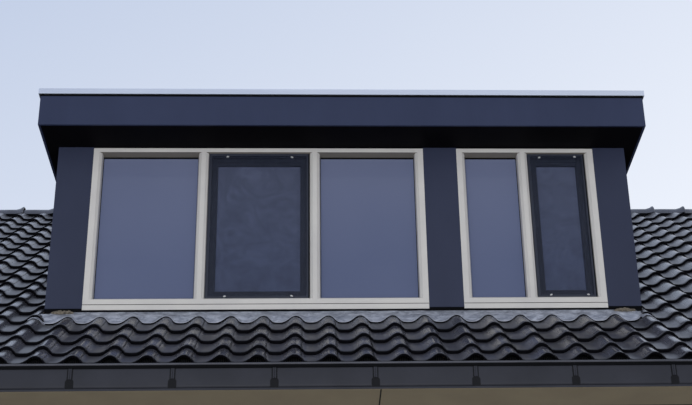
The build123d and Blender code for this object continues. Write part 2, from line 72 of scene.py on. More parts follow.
def wave(x):
    # the roll is full on its right flank and ends there in a step down to the next pan
    cover, lap = roof["cover"], roof["lapEdge"]
    x = (x - roof["waveCentre"] + cover - lap) % cover - cover + lap
    share = (1 + math.cos(2 * math.pi * x / cover)) / 2
    if x > 0:
        return roof["waveHeight"] * (1 - roof["lapFall"] * (x / lap) ** roof["lapCurve"])
    return roof["waveHeight"] * share ** (roof["leftFlank"] if x > -cover / 2 else roof["panFlank"])


def dressedWave(x):
    # the wave as soft sheet follows it
    return sum(wave(x + roof["dressStep"] * n) for n in range(-3, 4)) / 7


def smoothStep(t):
    t = min(1.0, max(0.0, t))
    return t * t * (3 - 2 * t)


# Small helpers for meshes and nodes

def meshFrom(name, points, faces, smoothAngle=0):
    mesh = bpy.data.meshes.new(name)
    mesh.from_pydata(points, [], faces)
    shape = bmesh.new()
    shape.from_mesh(mesh)
    bmesh.ops.recalc_face_normals(shape, faces=shape.faces)
    softenEdges(shape, smoothAngle)
    shape.to_mesh(mesh)
    shape.free()
    return mesh


def softenEdges(shape, angle):
    for face in shape.faces:
        face.smooth = angle > 0
    for edge in shape.edges:
        edge.smooth = len(edge.link_faces) == 2 and edge.calc_face_angle(0.0) < math.radians(angle)


def newPiece(name, mesh, material, replaced=()):
    if not mesh.materials:
        mesh.materials.append(material)
    piece = bpy.data.objects.new(name, mesh)
    bpy.context.scene.collection.objects.link(piece)
    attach(piece, "root")
    if replaced:
        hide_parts(*replaced)
    return piece


def joined(shapes):
    points, faces = [], []
    for morePoints, moreFaces in shapes:
        base = len(points)
        points += morePoints
        faces += [tuple(base + i for i in face) for face in moreFaces]
    return points, faces


def prismFaces(count):
    # sides and ends between an outline's points and their copies
    sides = [(i, (i + 1) % count, count + (i + 1) % count, count + i) for i in range(count)]
    return sides + [tuple(range(count)), tuple(range(count, 2 * count))]


def drawnAlongX(outline, x0, x1):
    points = [(x0, y, z) for y, z in outline] + [(x1, y, z) for y, z in outline]
    return points, prismFaces(len(outline))


def mitredRing(opening, section, outside=None):
    # section is a closed outline of inset from the opening's edge and y, and of other insets at head and foot
    # where they differ; None as inset means the outside box
    x0, x1, z0, z1 = opening
    far = outside or opening
    points, faces = [], []
    count = len(section)
    for atRight, atTop in ((0, 0), (1, 0), (1, 1), (0, 1)):
        for inset, y, *others in section:
            if inset is None:
                points.append((far[atRight], y, far[2 + atTop]))
            else:
                head, foot = others or (inset, inset)
                points.append((x1 - inset if atRight else x0 + inset, y, z1 - head if atTop else z0 + foot))
    for corner in range(4):
        after = (corner + 1) % 4
        for i in range(count):
            j = (i + 1) % count
            faces.append((corner * count + i, corner * count + j, after * count + j, after * count + i))
    return points, faces


def boxShape(x0, x1, y0, y1, z0, z1):
    return drawnAlongX([(y0, z0), (y1, z0), (y1, z1), (y0, z1)], x0, x1)


def trimmed(mesh, axis, place, keepBeyond):
    shape = bmesh.new()
    shape.from_mesh(mesh)
    everything = shape.verts[:] + shape.edges[:] + shape.faces[:]
    along = Vector([float(n == axis) for n in range(3)])
    cut = bmesh.ops.bisect_plane(
        shape, geom=everything, plane_co=along * place, plane_no=-along if keepBeyond else along,
        clear_outer=True,
    )
    edges = [part for part in cut["geom_cut"] if isinstance(part, bmesh.types.BMEdge)]
    bmesh.ops.holes_fill(shape, edges=edges, sides=0)  # each tile stays a closed shell
    shape.to_mesh(mesh)
    shape.free()
    return mesh


def merged(name, meshes):
    shape = bmesh.new()
    for mesh in meshes:
        shape.from_mesh(mesh)
    mesh = bpy.data.meshes.new(name)
    shape.to_mesh(mesh)
    shape.free()
    for material in meshes[0].materials:
        mesh.materials.append(material)
    return mesh


def toLinear(hexText):
    channels = [int(hexText[i:i + 2], 16) / 255 for i in (0, 2, 4)]
    return tuple(c / 12.92 if c <= 0.04045 else ((c + 0.055) / 1.055) ** 2.4 for c in channels) + (1.0,)


def addNode(tree, kind, settings={}, links={}, stops=()):
    node = tree.nodes.new(kind)
    for key, value in settings.items():
        if isinstance(key, int) or key in node.inputs:
            node.inputs[key].default_value = value
        else:
            setattr(node, key, value)
    for key, source in links.items():
        tree.links.new(source, node.inputs[key])
    for index, (place, hexText) in enumerate(stops):
        stop = node.color_ramp.elements[index] if index < 2 else node.color_ramp.elements.new(place)
        stop.position = place
        stop.color = toLinear(hexText)
    return node


def newMaterial(name, values):
    material = bpy.data.materials.new(name)
    material.use_nodes = True
    shader = material.node_tree.nodes["Principled BSDF"]
    for key, value in values.items():
        shader.inputs[key].default_value = value
    return material, material.node_tree, shader


def newTree(name, inputs):
    tree = bpy.data.node_groups.new(name, "GeometryNodeTree")
    tree.interface.new_socket("Geometry", in_out="OUTPUT", socket_type="NodeSocketGeometry")
    for label, kind in inputs:
        tree.interface.new_socket(label, in_out="INPUT", socket_type="NodeSocket" + kind)
    return tree, tree.nodes.new("NodeGroupInput").outputs, tree.nodes.new("NodeGroupOutput")


def grownMesh(name, tree, values):
    carrier = bpy.data.objects.new(name, bpy.data.meshes.new(name))
    bpy.context.scene.collection.objects.link(carrier)
    modifier = carrier.modifiers.new("grow", "NODES")
    modifier.node_group = tree
    for item in tree.interface.items_tree:
        if item.in_out == "INPUT":
            modifier[item.identifier] = values[item.name]
    mesh = bpy.data.meshes.new_from_object(carrier.evaluated_get(bpy.context.evaluated_depsgraph_get()))
    bpy.data.objects.remove(carrier)
    return mesh


def heldShape(name, mesh):
    # a shape that a tree copies; it is taken away again afterwards
    shape = bpy.data.objects.new(name, mesh)
    bpy.context.scene.collection.objects.link(shape)
    return shape


# Finishes

def engobedClay(name, panColour, rollColour, mossColour, toneSpread):
    # pressed clay under a satin dark slip: it mirrors the low sky; lighter, greyer and shinier on the rolls
    # and darker and duller in the pans, the lighter rolls partly dust and partly painted sky reflection;
    # painted black on its cut nose as painted shade
    material, tree, shader = newMaterial(name, {"IOR": 1.5, "Roughness": 0.2, "Specular IOR Level": 0.95})
    place = addNode(tree, "ShaderNodeTexCoord").outputs["Object"]
    across = addNode(tree, "ShaderNodeSeparateXYZ", {}, {0: place}).outputs[0]
    turn = 2 * math.pi / roof["cover"]
    phase = addNode(
        tree, "ShaderNodeMath", {"operation": "MULTIPLY_ADD", 1: turn, 2: -turn * roof["waveCentre"]},
        {0: across},
    )
    roll = addNode(tree, "ShaderNodeMath", {"operation": "COSINE"}, {0: phase.outputs[0]}).outputs[0]
    patches = addNode(
        tree, "ShaderNodeTexNoise", {"Scale": 5.0, "Detail": 1.0, "Roughness": 0.5}, {"Vector": place},
    ).outputs[0]
    # painted sky reflection and dust: the rolls take the lighter colour
    rolled = addNode(
        tree, "ShaderNodeMath", {"operation": "MULTIPLY_ADD", 1: 0.3, 2: 0.2}, {0: roll},
    ).outputs[0]
    mix = addNode(
        tree, "ShaderNodeMath", {"operation": "MULTIPLY_ADD", "use_clamp": True, 1: 0.6},
        {0: patches, 2: rolled},
    ).outputs[0]
    slip = addNode(
        tree, "ShaderNodeMix", {"data_type": "RGBA", 6: toLinear(panColour), 7: toLinear(rollColour)},
        {0: mix},
    ).outputs[2]
    growth = addNode(
        tree, "ShaderNodeTexNoise", {"Scale": 3.1, "Detail": 3.0, "Roughness": 0.6}, {"Vector": place},
    ).outputs[0]
    mossy = addNode(tree, "ShaderNodeMapRange", {1: 0.55, 2: 0.72, 3: 0.0, 4: 0.35}, {0: growth}).outputs[0]
    colour = addNode(
        tree, "ShaderNodeMix", {"data_type": "RGBA", 7: toLinear(mossColour)}, {0: mossy, 6: slip},
    ).outputs[2]
    tone = addNode(tree, "ShaderNodeAttribute", {"attribute_name": "tileTone"}).outputs["Fac"]
    level = addNode(tree, "ShaderNodeMapRange", {3: 1 - toneSpread, 4: 1 + toneSpread}, {0: tone}).outputs[0]
    toned = addNode(tree, "ShaderNodeVectorMath", {"operation": "SCALE"}, {0: colour, 3: level}).outputs[0]
    # painted shade: black on the nose and the lap edge
    paintedShade = addNode(tree, "ShaderNodeAttribute", {"attribute_name": "noseDamp"}).outputs["Fac"]
    whole = addNode(
        tree, "ShaderNodeMix", {"data_type": "RGBA", 7: toLinear("06070A")}, {0: paintedShade, 6: toned},
    ).outputs[2]
    tree.links.new(whole, shader.inputs["Base Color"])
    sheen = addNode(tree, "ShaderNodeMapRange", {1: 0.25, 2: 0.75, 3: 0.38, 4: 0.19}, {0: mix}).outputs[0]
    dull = addNode(tree, "ShaderNodeMath", {"operation": "MAXIMUM"}, {0: paintedShade, 1: sheen}).outputs[0]
    tree.links.new(dull, shader.inputs["Roughness"])
    # 8 mm, coarser than real
    grit = addNode(tree, "ShaderNodeTexNoise", {"Scale": 120.0, "Detail": 3.0}, {"Vector": place}).outputs[0]
    bump = addNode(tree, "ShaderNodeBump", {"Strength": 0.02, "Distance": 0.002}, {"Height": grit}).outputs[0]
    tree.links.new(bump, shader.inputs["Normal"])
    return material


def weatheredLead(name):
    # rolled sheet lead gone grey: dull, with pale bloom and dark run marks; its lower edge in the pans is
    # painted brighter: painted highlight
    material, tree, shader = newMaterial(name, {"Metallic": 0.4, "Roughness": 0.5})
    place = addNode(tree, "ShaderNodeTexCoord").outputs["Object"]
    drawn = addNode(tree, "ShaderNodeMapping", {"Scale": (1.0, 1.6, 2.4)}, {"Vector": place}).outputs[0]
    bloom = addNode(
        tree, "ShaderNodeTexNoise", {"Scale": 13.0, "Detail": 7.0, "Roughness": 0.72, "Distortion": 0.8},
        {"Vector": drawn},
    ).outputs[0]
    sheet = addNode(
        tree, "ShaderNodeValToRGB", {}, {0: bloom}, [(0.3, "666B79"), (0.74, "D6DBE8"), (0.5, "9CA2B1")],
    ).outputs[0]
    # painted highlight: the lower edge in the pans is painted bright
    edgeHighlight = addNode(tree, "ShaderNodeAttribute", {"attribute_name": "leadEdgeHighlight"}).outputs["Fac"]
    colour = addNode(
        tree, "ShaderNodeMix", {"data_type": "RGBA", 7: toLinear("C6CCDC")}, {0: edgeHighlight, 6: sheet},
    ).outputs[2]
    tree.links.new(colour, shader.inputs["Base Color"])
    rough = addNode(tree, "ShaderNodeMapRange", {1: 0.3, 2: 0.7, 3: 0.38, 4: 0.66}, {0: bloom}).outputs[0]
    tree.links.new(rough, shader.inputs["Roughness"])
    # 26 mm dressing marks
    dents = addNode(tree, "ShaderNodeTexNoise", {"Scale": 38.0, "Detail": 3.0}, {"Vector": place}).outputs[0]
    bump = addNode(tree, "ShaderNodeBump", {"Strength": 0.6, "Distance": 0.004}, {"Height": dents}).outputs[0]
    tree.links.new(bump, shader.inputs["Normal"])
    return material


def washedSurface(name, values, lowColour, highColour, scale, stretch, bumpScale, bumpStrength):
    # a sheet or board with a faint unevenness of its own colour, drawn out along stretch;
    # both scales count per metre, so 300 is a grain of about 3 mm
    material, tree, shader = newMaterial(name, values)
    place = addNode(tree, "ShaderNodeTexCoord").outputs["Object"]
    drawn = addNode(tree, "ShaderNodeMapping", {"Scale": stretch}, {"Vector": place}).outputs[0]
    wash = addNode(
        tree, "ShaderNodeTexNoise", {"Scale": scale, "Detail": 5.0, "Roughness": 0.6}, {"Vector": drawn},
    ).outputs[0]
    colour = addNode(
        tree, "ShaderNodeValToRGB", {}, {0: wash}, [(0.3, lowColour), (0.7, highColour)],
    ).outputs[0]
    tree.links.new(colour, shader.inputs["Base Color"])
    grain = addNode(
        tree, "ShaderNodeTexNoise", {"Scale": bumpScale, "Detail": 3.0}, {"Vector": drawn},
    ).outputs[0]
    bump = addNode(
        tree, "ShaderNodeBump", {"Strength": bumpStrength, "Distance": 0.001}, {"Height": grain},
    ).outputs[0]
    tree.links.new(bump, shader.inputs["Normal"])
    return material


def foiledLaminate(name, lowColour, highColour, roughness, shine=0.2):
    # smooth coated facing board: even colour, soft satin sheen, faint upright run marks
    return washedSurface(
        name, {"IOR": 1.5, "Roughness": roughness, "Specular IOR Level": shine}, lowColour, highColour, 2.5,
        (1.0, 1.0, 0.35), 300.0, 0.08,
    )


def glossyPvc(name, lowColour, highColour, roughness, shine=0.4):
    # extruded window plastic: smooth, slightly glossy, a little dulled by weather
    return washedSurface(
        name, {"IOR": 1.53, "Roughness": roughness, "Specular IOR Level": shine}, lowColour, highColour, 3.0,
        (1.0, 1.0, 1.0), 220.0, 0.04,
    )


def creamPvc(name, lowColour, highColour, shadeGrimeColour):
    # cream window plastic: smooth, slightly glossy, painted darker and browner on undersides marked by the
    # attribute: painted shade, with grime
    material = glossyPvc(name, lowColour, highColour, 0.36)
    tree = material.node_tree
    shader = tree.nodes["Principled BSDF"]
    washed = shader.inputs["Base Color"].links[0].from_socket
    # painted shade and grime on the head's underside
    shadedGrime = addNode(tree, "ShaderNodeAttribute", {"attribute_name": "headShadeAndGrime"}).outputs["Fac"]
    colour = addNode(
        tree, "ShaderNodeMix", {"data_type": "RGBA", 7: toLinear(shadeGrimeColour)}, {0: shadedGrime, 6: washed},
    ).outputs[2]
    tree.links.new(colour, shader.inputs["Base Color"])
    return material


def anodisedAluminium(name, lowColour, highColour):
    # drawn edge section, matt anodised: pale metal with fine lines along its length
    return washedSurface(
        name, {"Metallic": 0.85, "Roughness": 0.38}, lowColour, highColour, 30.0,
        (0.03, 1.0, 1.0), 500.0, 0.1,
    )


def sawnSoftwood(name, lowColour, highColour, turn):
    # rafters and battens, sawn spruce: long grain and darker growth bands
    material, tree, shader = newMaterial(name, {"IOR": 1.5, "Roughness": 0.75})
    place = addNode(tree, "ShaderNodeTexCoord").outputs["Object"]
    drawn = addNode(
        tree, "ShaderNodeMapping", {"Rotation": turn, "Scale": (1.0, 0.06, 1.0)}, {"Vector": place},
    ).outputs[0]
    grain = addNode(
        tree, "ShaderNodeTexNoise", {"Scale": 70.0, "Detail": 6.0, "Roughness": 0.6, "Distortion": 0.3},
        {"Vector": drawn},
    ).outputs[0]
    colour = addNode(
        tree, "ShaderNodeValToRGB", {}, {0: grain}, [(0.32, lowColour), (0.7, highColour)],
    ).outputs[0]
    tree.links.new(colour, shader.inputs["Base Color"])
    bump = addNode(tree, "ShaderNodeBump", {"Strength": 0.3, "Distance": 0.001}, {"Height": grain}).outputs[0]
    tree.links.new(bump, shader.inputs["Normal"])
    return material


def coatedGlazing(name, lowColour, highColour):
    # sealed double pane drawn opaque: smooth slate blue that stands for pale blinds close behind and for
    # painted sky reflection, with a slow drift of tone
    material, tree, shader = newMaterial(name, {"IOR": 1.5, "Roughness": 0.06, "Specular IOR Level": 0.1})
    place = addNode(tree, "ShaderNodeTexCoord").outputs["Object"]
    drift = addNode(tree, "ShaderNodeTexNoise", {"Scale": 0.9, "Detail": 2.0}, {"Vector": place}).outputs[0]
    upright = addNode(tree, "ShaderNodeSeparateXYZ", {}, {0: place}).outputs[2]
    # painted light: the pane is lighter towards the top, against the soffit's shade
    height = addNode(tree, "ShaderNodeMapRange", {1: 1.5, 2: 2.5, 3: 0.0, 4: 0.6}, {0: upright}).outputs[0]
    share = addNode(
        tree, "ShaderNodeMath", {"operation": "MULTIPLY_ADD", 1: 0.45}, {0: drift, 2: height},
    ).outputs[0]
    colour = addNode(
        tree, "ShaderNodeValToRGB", {}, {0: share}, [(0.1, lowColour), (0.85, highColour)],
    ).outputs[0]
    tree.links.new(colour, shader.inputs["Base Color"])
    # slow bow of the sheets
    roller = addNode(tree, "ShaderNodeTexNoise", {"Scale": 1.6, "Detail": 1.0}, {"Vector": place}).outputs[0]
    bump = addNode(
        tree, "ShaderNodeBump", {"Strength": 0.05, "Distance": 0.01}, {"Height": roller},
    ).outputs[0]
    tree.links.new(bump, shader.inputs["Normal"])
    return material


def fibreGauze(name):
    # coated glass fibre insect screen: its threads, 1.4 mm apart, are too fine to see,
    # so it is an even veil with soft bands
    material, tree, shader = newMaterial(
        name, {"Base Color": toLinear("353C4F"), "IOR": 1.5, "Roughness": 0.7, "Specular IOR Level": 0.1},
    )
    place = addNode(tree, "ShaderNodeTexCoord").outputs["Object"]
    bands = addNode(
        tree, "ShaderNodeTexNoise", {"Scale": 4.5, "Detail": 3.0, "Roughness": 0.6, "Distortion": 2.5},
        {"Vector": place},
    ).outputs[0]
    veil = addNode(tree, "ShaderNodeMapRange", {1: 0.32, 2: 0.68, 3: 0.14, 4: 0.25}, {0: bands}).outputs[0]
    tree.links.new(veil, shader.inputs["Alpha"])
    return material


finish = {
    # cut clay edge painted black as painted shade of the gap under the nose, without sheen
    "nose": washedSurface(
        "shadedClayEdge", {"IOR": 1.5, "Roughness": 0.9, "Specular IOR Level": 0.05}, "040408", "0B0B10", 30.0,
        (1, 1, 1), 120.0, 0.3,
    ),
    "tiles": engobedClay("engobedClayTile", "2C2C34", "50525E", "524F47", 0.16),
    "ridge": engobedClay("engobedClayRidge", "343846", "4A4F60", "42444C", 0.1),
    "lead": weatheredLead("weatheredSheetLead"),
    "trim": anodisedAluminium("anodisedEdgeTrim", "C3C9D6", "CDD3DF"),
    "fascia": foiledLaminate("anthraciteFasciaBoard", "2A324C", "2F3752", 0.5),
    "panels": foiledLaminate("anthraciteWallPanel", "292F44", "2E344A", 0.5),
    # near black: painted shade under the overhang, over the board's own dark colour
    "soffit": foiledLaminate("darkSoffitBoardShade", "050408", "09080C", 0.7, 0.05),
    "frame": creamPvc("creamWindowPvc", "BFBEBF", "C9C8C7", "5E584E"),
    "sash": glossyPvc("anthraciteSashPvc", "1A1E2B", "202431", 0.42, 0.2),
    "screen": glossyPvc("darkScreenAluminium", "272B38", "2F3442", 0.45, 0.25),
    "glass": coatedGlazing("blindAndSkyGlazing", "586282", "6B7390"),
    "gauze": fibreGauze("fibreInsectGauze"),
    "gutter": glossyPvc("anthraciteGutter", "25272F", "2D2F38", 0.5, 0.15),
    # lighter than the gutter: painted highlight along the bead
    "bead": glossyPvc("gutterBeadHighlight", "34363F", "464852", 0.4, 0.3),
    # coated steel and rubber are as smooth as plastic at this size
    # black, so that the strap's edges beside the lighter ribs read as painted shadow lines
    "strap": glossyPvc("blackStrapEdgeShade", "0B0C10", "121317", 0.5, 0.1),
    "beige": foiledLaminate("beigePaintedBoard", "675E4D", "706754", 0.7),
    "clip": glossyPvc("whiteClipPlastic", "C4C5C8", "D2D3D6", 0.4),
    # black rubber for gaskets and the eaves comb; the same black paints shade in strips and gaps
    "shadeAndSeal": glossyPvc("blackSealAndShade", "050609", "08090C", 0.7, 0.05),
    # bedding mortar gone grey: coarse, with light and dark crumbs
    "mortar": washedSurface(
        "weatheredMortar", {"IOR": 1.5, "Roughness": 0.9}, "33302D", "7A7368", 60.0, (1, 1, 1), 160.0, 0.8,
    ),
    # rubber sheet: dark, with a faint bloom
    "membrane": washedSurface(
        "rubberRoofSheet", {"IOR": 1.5, "Roughness": 0.7}, "2C2E33", "3A3C42", 2.0, (1, 1, 1), 90.0, 0.2,
    ),
    # painted plasterboard: flat off-white
    "plaster": washedSurface(
        "paintedPlasterboard", {"IOR": 1.5, "Roughness": 0.85}, "D6D3CC", "DEDBD5", 2.0,
        (1, 1, 1), 400.0, 0.1,
    ),
    # sawn boards: pale softwood, its grain along the eaves
    "boards": washedSurface(
        "sawnRoofBoards", {"IOR": 1.5, "Roughness": 0.8}, "A98A63", "C4A57C", 14.0, (0.1, 1, 1), 60.0, 0.3,
    ),
    "rafters": sawnSoftwood("sawnSpruceRafters", "A9865C", "D0B082", (math.radians(-35), 0, 0)),
    "battens": sawnSoftwood("sawnSpruceBattens", "9C7B55", "C5A678", (0, 0, math.radians(90))),
    "posts": sawnSoftwood("sawnSprucePosts", "A9865C", "CBAA7C", (math.radians(90), 0, 0)),
}
print("finishes made:", len(finish))

# What each CAD node is finished with when it stays
dressed = {
    "trim": ["roof_edge_trim"],
    "fascia": ["front_fascia", "left_fascia", "right_fascia"],
    "panels": ["pier_panels", "cheek_cladding", "panel_drip_trims"],
    "soffit": ["front_soffit", "side_soffits"],
    "frame": ["window_sills", "window_board"],
    "sash": ["left_sash", "right_sash", "glazing_beads"],
    "glass": ["fixed_panes", "sash_panes"],
    "gauze": ["screen_meshes"],
    "beige": ["eaves_board", "eaves_soffit"],
    "lead": ["side_flashings"],
    "membrane": ["roof_membrane"],
    "plaster": ["ceiling_lining", "cheek_linings", "front_inner_lining"],
    "boards": ["front_roof_deck", "side_roof_decks", "back_roof_deck", "flat_roof_deck", "cheek_cores"],
    "rafters": ["long_rafters", "jack_rafters", "counter_battens", "flat_roof_joists", "verge_joists"],
    "battens": [
        "tile_battens", "wall_plate", "trimmers", "ridge_board", "front_header", "front_curb",
        "front_edge_joist", "roof_kerb",
    ],
    "posts": ["pier_posts"],
}
for key, names in dressed.items():
    for name in names:
        mesh = nodes[name].data
        for index in range(len(mesh.materials)):
            mesh.materials[index] = finish[key]
print("solids dressed")

# Roof tiles
tile = {
    # x of the mesh's columns, from the roll's centre
    "across": (
        -0.188, -0.168, -0.145, -0.12, -0.095, -0.072, -0.05, -0.03, -0.01, 0.012, 0.032, 0.045, 0.052,
    ),
    "nose": ((0.010, 0.0), (0.0, 0.86), (0.006, 1.12)),  # y and height share of the rounded, undercut nose
    "swell": 0.065,        # the nose's extra thickness runs out after this length
    "arch": (0.058, 0.052),  # half width and height of the opening under a roll at the eaves
    "archFoot": 0.002,     # the tile goes this far down beside the opening
    "archSkin": 0.006,
    "noseShadeReach": 0.05,     # painted shade from the nose goes less far up the tile than this
    "tilt": 0.007,         # radians
    "slip": 0.003,
    "notch": 2.236,        # inner end of the corner pieces
    "notchBack": 0.917,
    "bayColumns": (-17, 17),
    "leftColumns": (-17, -10),
    "rightColumns": (9, 17),
    "backColumns": (-10, 9),
    "frontCourses": 3,
    "sideCourses": 17,
    "backCourses": 7,
    "backFrom": 11,        # the first course behind the dormer, counted from the one under the apron
}


def tileMesh(name, run, archedBelow):
    # the attribute is 1 on the nose and on the lap edge, which are painted black: painted shade of the gaps
    # under the nose and beside the roll
    section = list(tile["nose"]) + [(tile["swell"], 1.0), (run, 1.0), (run, 0.0)]
    count = len(section)
    points, faces, paintedShade = [], [], []
    for x in tile["across"]:
        crown = wave(x + roof["waveCentre"])
        archHalf, archHeight = tile["arch"]
        arch = archHeight * math.sqrt(max(0.0, 1 - (x / archHalf) ** 2)) - tile["archFoot"]
        under = min(crown + tile["archSkin"], arch) if archedBelow else crown
        for y, share in section:
            height = under + (crown + roof["thickness"] - under) * share
            points.append((x, y, roof["fall"] * y + height / roof["cos"]))
            # painted shade: full on the nose's underside, less on its rounded top
            nosed = 1.0 if share < 1 else 0.6 if share > 1 else 0.0
            paintedShade.append(1.0 if x == tile["across"][-1] else nosed if y < tile["noseShadeReach"] else 0.0)
    for column in range(len(tile["across"]) - 1):
        for i in range(count):
            j = (i + 1) % count
            faces.append(
                (column * count + i, column * count + j, (column + 1) * count + j, (column + 1) * count + i)
            )
    last = (len(tile["across"]) - 1) * count
    faces += [tuple(range(count)), tuple(range(last, last + count))]
    mesh = meshFrom(name, points, faces, 38)
    mesh.attributes.new("noseDamp", "FLOAT", "POINT").data.foreach_set("value", paintedShade)
    return mesh


def tileFieldTree():
    tree, given, end = newTree("tileField", [
        ("Tile", "Object"), ("Columns", "Int"), ("Courses", "Int"), ("Cover", "Float"), ("Gauge", "Float"),
        ("Rise", "Float"), ("First", "Vector"), ("Tilt", "Float"), ("Slip", "Float"), ("Seed", "Int"),
        ("Material", "Material"), ("Nose", "Material"),
    ])
    wide = addNode(
        tree, "ShaderNodeMath", {"operation": "SUBTRACT", 1: 1.0}, {0: given["Columns"]},
    ).outputs[0]
    deep = addNode(
        tree, "ShaderNodeMath", {"operation": "SUBTRACT", 1: 1.0}, {0: given["Courses"]},
    ).outputs[0]
    width = addNode(
        tree, "ShaderNodeMath", {"operation": "MULTIPLY"}, {0: wide, 1: given["Cover"]},
    ).outputs[0]
    depth = addNode(
        tree, "ShaderNodeMath", {"operation": "MULTIPLY"}, {0: deep, 1: given["Gauge"]},
    ).outputs[0]
    grid = addNode(
        tree, "GeometryNodeMeshGrid", {}, {0: width, 1: depth, 2: given["Columns"], 3: given["Courses"]},
    ).outputs[0]
    half = addNode(tree, "ShaderNodeCombineXYZ", {}, {0: width, 1: depth}).outputs[0]
    shift = addNode(
        tree, "ShaderNodeVectorMath", {"operation": "MULTIPLY_ADD", 1: (0.5, 0.5, 0.0)},
        {0: half, 2: given["First"]},
    ).outputs[0]
    placed = addNode(tree, "GeometryNodeSetPosition", {}, {0: grid, 3: shift}).outputs[0]
    here = addNode(tree, "GeometryNodeInputPosition").outputs[0]
    start = addNode(
        tree, "ShaderNodeVectorMath", {"operation": "SUBTRACT"}, {0: here, 1: given["First"]},
    ).outputs[0]
    up = addNode(tree, "ShaderNodeSeparateXYZ", {}, {0: start}).outputs[1]
    rise = addNode(tree, "ShaderNodeMath", {"operation": "MULTIPLY"}, {0: up, 1: given["Rise"]}).outputs[0]
    jitter = addNode(
        tree, "FunctionNodeRandomValue",
        {"data_type": "FLOAT_VECTOR", 0: (-0.4, -1.0, 0.0), 1: (0.4, 1.0, 0.5)}, {8: given["Seed"]},
    ).outputs[0]
    slip = addNode(
        tree, "ShaderNodeVectorMath", {"operation": "SCALE"}, {0: jitter, 3: given["Slip"]},
    ).outputs[0]
    lifted = addNode(tree, "ShaderNodeCombineXYZ", {}, {2: rise}).outputs[0]
    offset = addNode(tree, "ShaderNodeVectorMath", {"operation": "ADD"}, {0: slip, 1: lifted}).outputs[0]
    raised = addNode(tree, "GeometryNodeSetPosition", {}, {0: placed, 3: offset}).outputs[0]
    shape = addNode(tree, "GeometryNodeObjectInfo", {}, {0: given["Tile"]}).outputs["Geometry"]
    wobble = addNode(
        tree, "FunctionNodeRandomValue",
        {"data_type": "FLOAT_VECTOR", 0: (-0.3, -1.0, -0.6), 1: (0.3, 1.0, 0.6)}, {8: given["Seed"]},
    ).outputs[0]
    turned = addNode(
        tree, "ShaderNodeVectorMath", {"operation": "SCALE"}, {0: wobble, 3: given["Tilt"]},
    ).outputs[0]
    laid = addNode(tree, "GeometryNodeInstanceOnPoints", {}, {0: raised, 2: shape, 5: turned}).outputs[0]
    tone = addNode(
        tree, "FunctionNodeRandomValue", {"data_type": "FLOAT", 2: 0.0, 3: 1.0}, {8: given["Seed"]},
    ).outputs[1]
    toned = addNode(
        tree, "GeometryNodeStoreNamedAttribute",
        {"data_type": "FLOAT", "domain": "INSTANCE", "Name": "tileTone"}, {0: laid, 3: tone},
    ).outputs[0]
    real = addNode(tree, "GeometryNodeRealizeInstances", {}, {0: toned}).outputs[0]
    painted = addNode(tree, "GeometryNodeSetMaterial", {}, {0: real, 2: given["Material"]}).outputs[0]
    # faces painted as shade at the nose take the black nose finish
    raw = addNode(
        tree, "GeometryNodeInputNamedAttribute", {"data_type": "FLOAT", "Name": "noseDamp"},
    ).outputs[0]
    atNose = addNode(tree, "ShaderNodeMath", {"operation": "GREATER_THAN", 1: 0.7}, {0: raw}).outputs[0]
    tipped = addNode(
        tree, "GeometryNodeSetMaterial", {}, {0: painted, 1: atNose, 2: given["Nose"]},
    ).outputs[0]
    tree.links.new(tipped, end.inputs[0])
    return tree


def tileField(name, columnFrom, columnTo, nose, run, courses, seed):
    first = (
        roof["waveCentre"] + roof["cover"] * columnFrom,
        nose,
        roofZ(nose + run, roof["seat"]) - roof["fall"] * run,
    )
    return grownMesh(name, fieldTree, {
        "Tile": tileShapes[run], "Columns": columnTo - columnFrom + 1, "Courses": courses,
        "Cover": roof["cover"], "Gauge": roof["gauge"], "Rise": roof["tan"], "First": first,
        "Tilt": tile["tilt"], "Slip": tile["slip"], "Seed": seed,
        "Material": finish["tiles"], "Nose": finish["nose"],
    })


def withinBay(mesh):
    return trimmed(trimmed(mesh, 0, roof["left"], True), 0, roof["right"], False)


fieldTree = tileFieldTree()
tileShapes = {
    run: heldShape("oneTile", tileMesh("oneTile", run, run == roof["eavesRun"]))
    for run in (roof["tileRun"], roof["eavesRun"])
}
lowest = roof["firstNose"] - 2 * roof["gauge"]
frontField = tileField("frontField", *tile["bayColumns"], lowest, roof["tileRun"], tile["frontCourses"], 1)
eavesField = tileField("eavesField", *tile["bayColumns"], roof["eavesNose"], roof["eavesRun"], 1, 2)
second = roof["firstNose"] + roof["gauge"]
leftField = tileField("leftField", *tile["leftColumns"], second, roof["tileRun"], tile["sideCourses"], 3)
leftField = trimmed(leftField, 0, -roof["fieldEdge"], False)
rightField = tileField("rightField", *tile["rightColumns"], second, roof["tileRun"], tile["sideCourses"], 4)
rightField = trimmed(rightField, 0, roof["fieldEdge"], True)
backNose = roof["firstNose"] + tile["backFrom"] * roof["gauge"]
backField = tileField("backField", *tile["backColumns"], backNose, roof["tileRun"], tile["backCourses"], 5)
backField = trimmed(trimmed(backField, 0, -roof["fieldEdge"], True), 0, roof["fieldEdge"], False)
notched = []  # the first side course reaches round the dormer's corners, cut to its front
for side, column, seed in ((-1, tile["backColumns"][0], 7), (1, tile["backColumns"][1], 8)):
    inner, outer = side * tile["notch"], side * roof["fieldEdge"]
    shape = tileField("cornerField", column, column + 1, second, roof["tileRun"], 1, seed)
    shape = trimmed(trimmed(shape, 0, min(inner, outer), True), 0, max(inner, outer), False)
    notched.append(trimmed(shape, 1, tile["notchBack"], False))

newPiece(
    "frontRoofTiles", merged("frontRoofTiles", [withinBay(frontField), withinBay(eavesField)]),
    finish["tiles"], ["front_tiles"],
)
newPiece(
    "sideRoofTiles", merged("sideRoofTiles", [withinBay(leftField), withinBay(rightField)] + notched),
    finish["tiles"], ["side_tiles"],
)
newPiece("backRoofTiles", merged("backRoofTiles", [backField]), finish["tiles"], ["back_tiles"])
print("roof tiles laid")

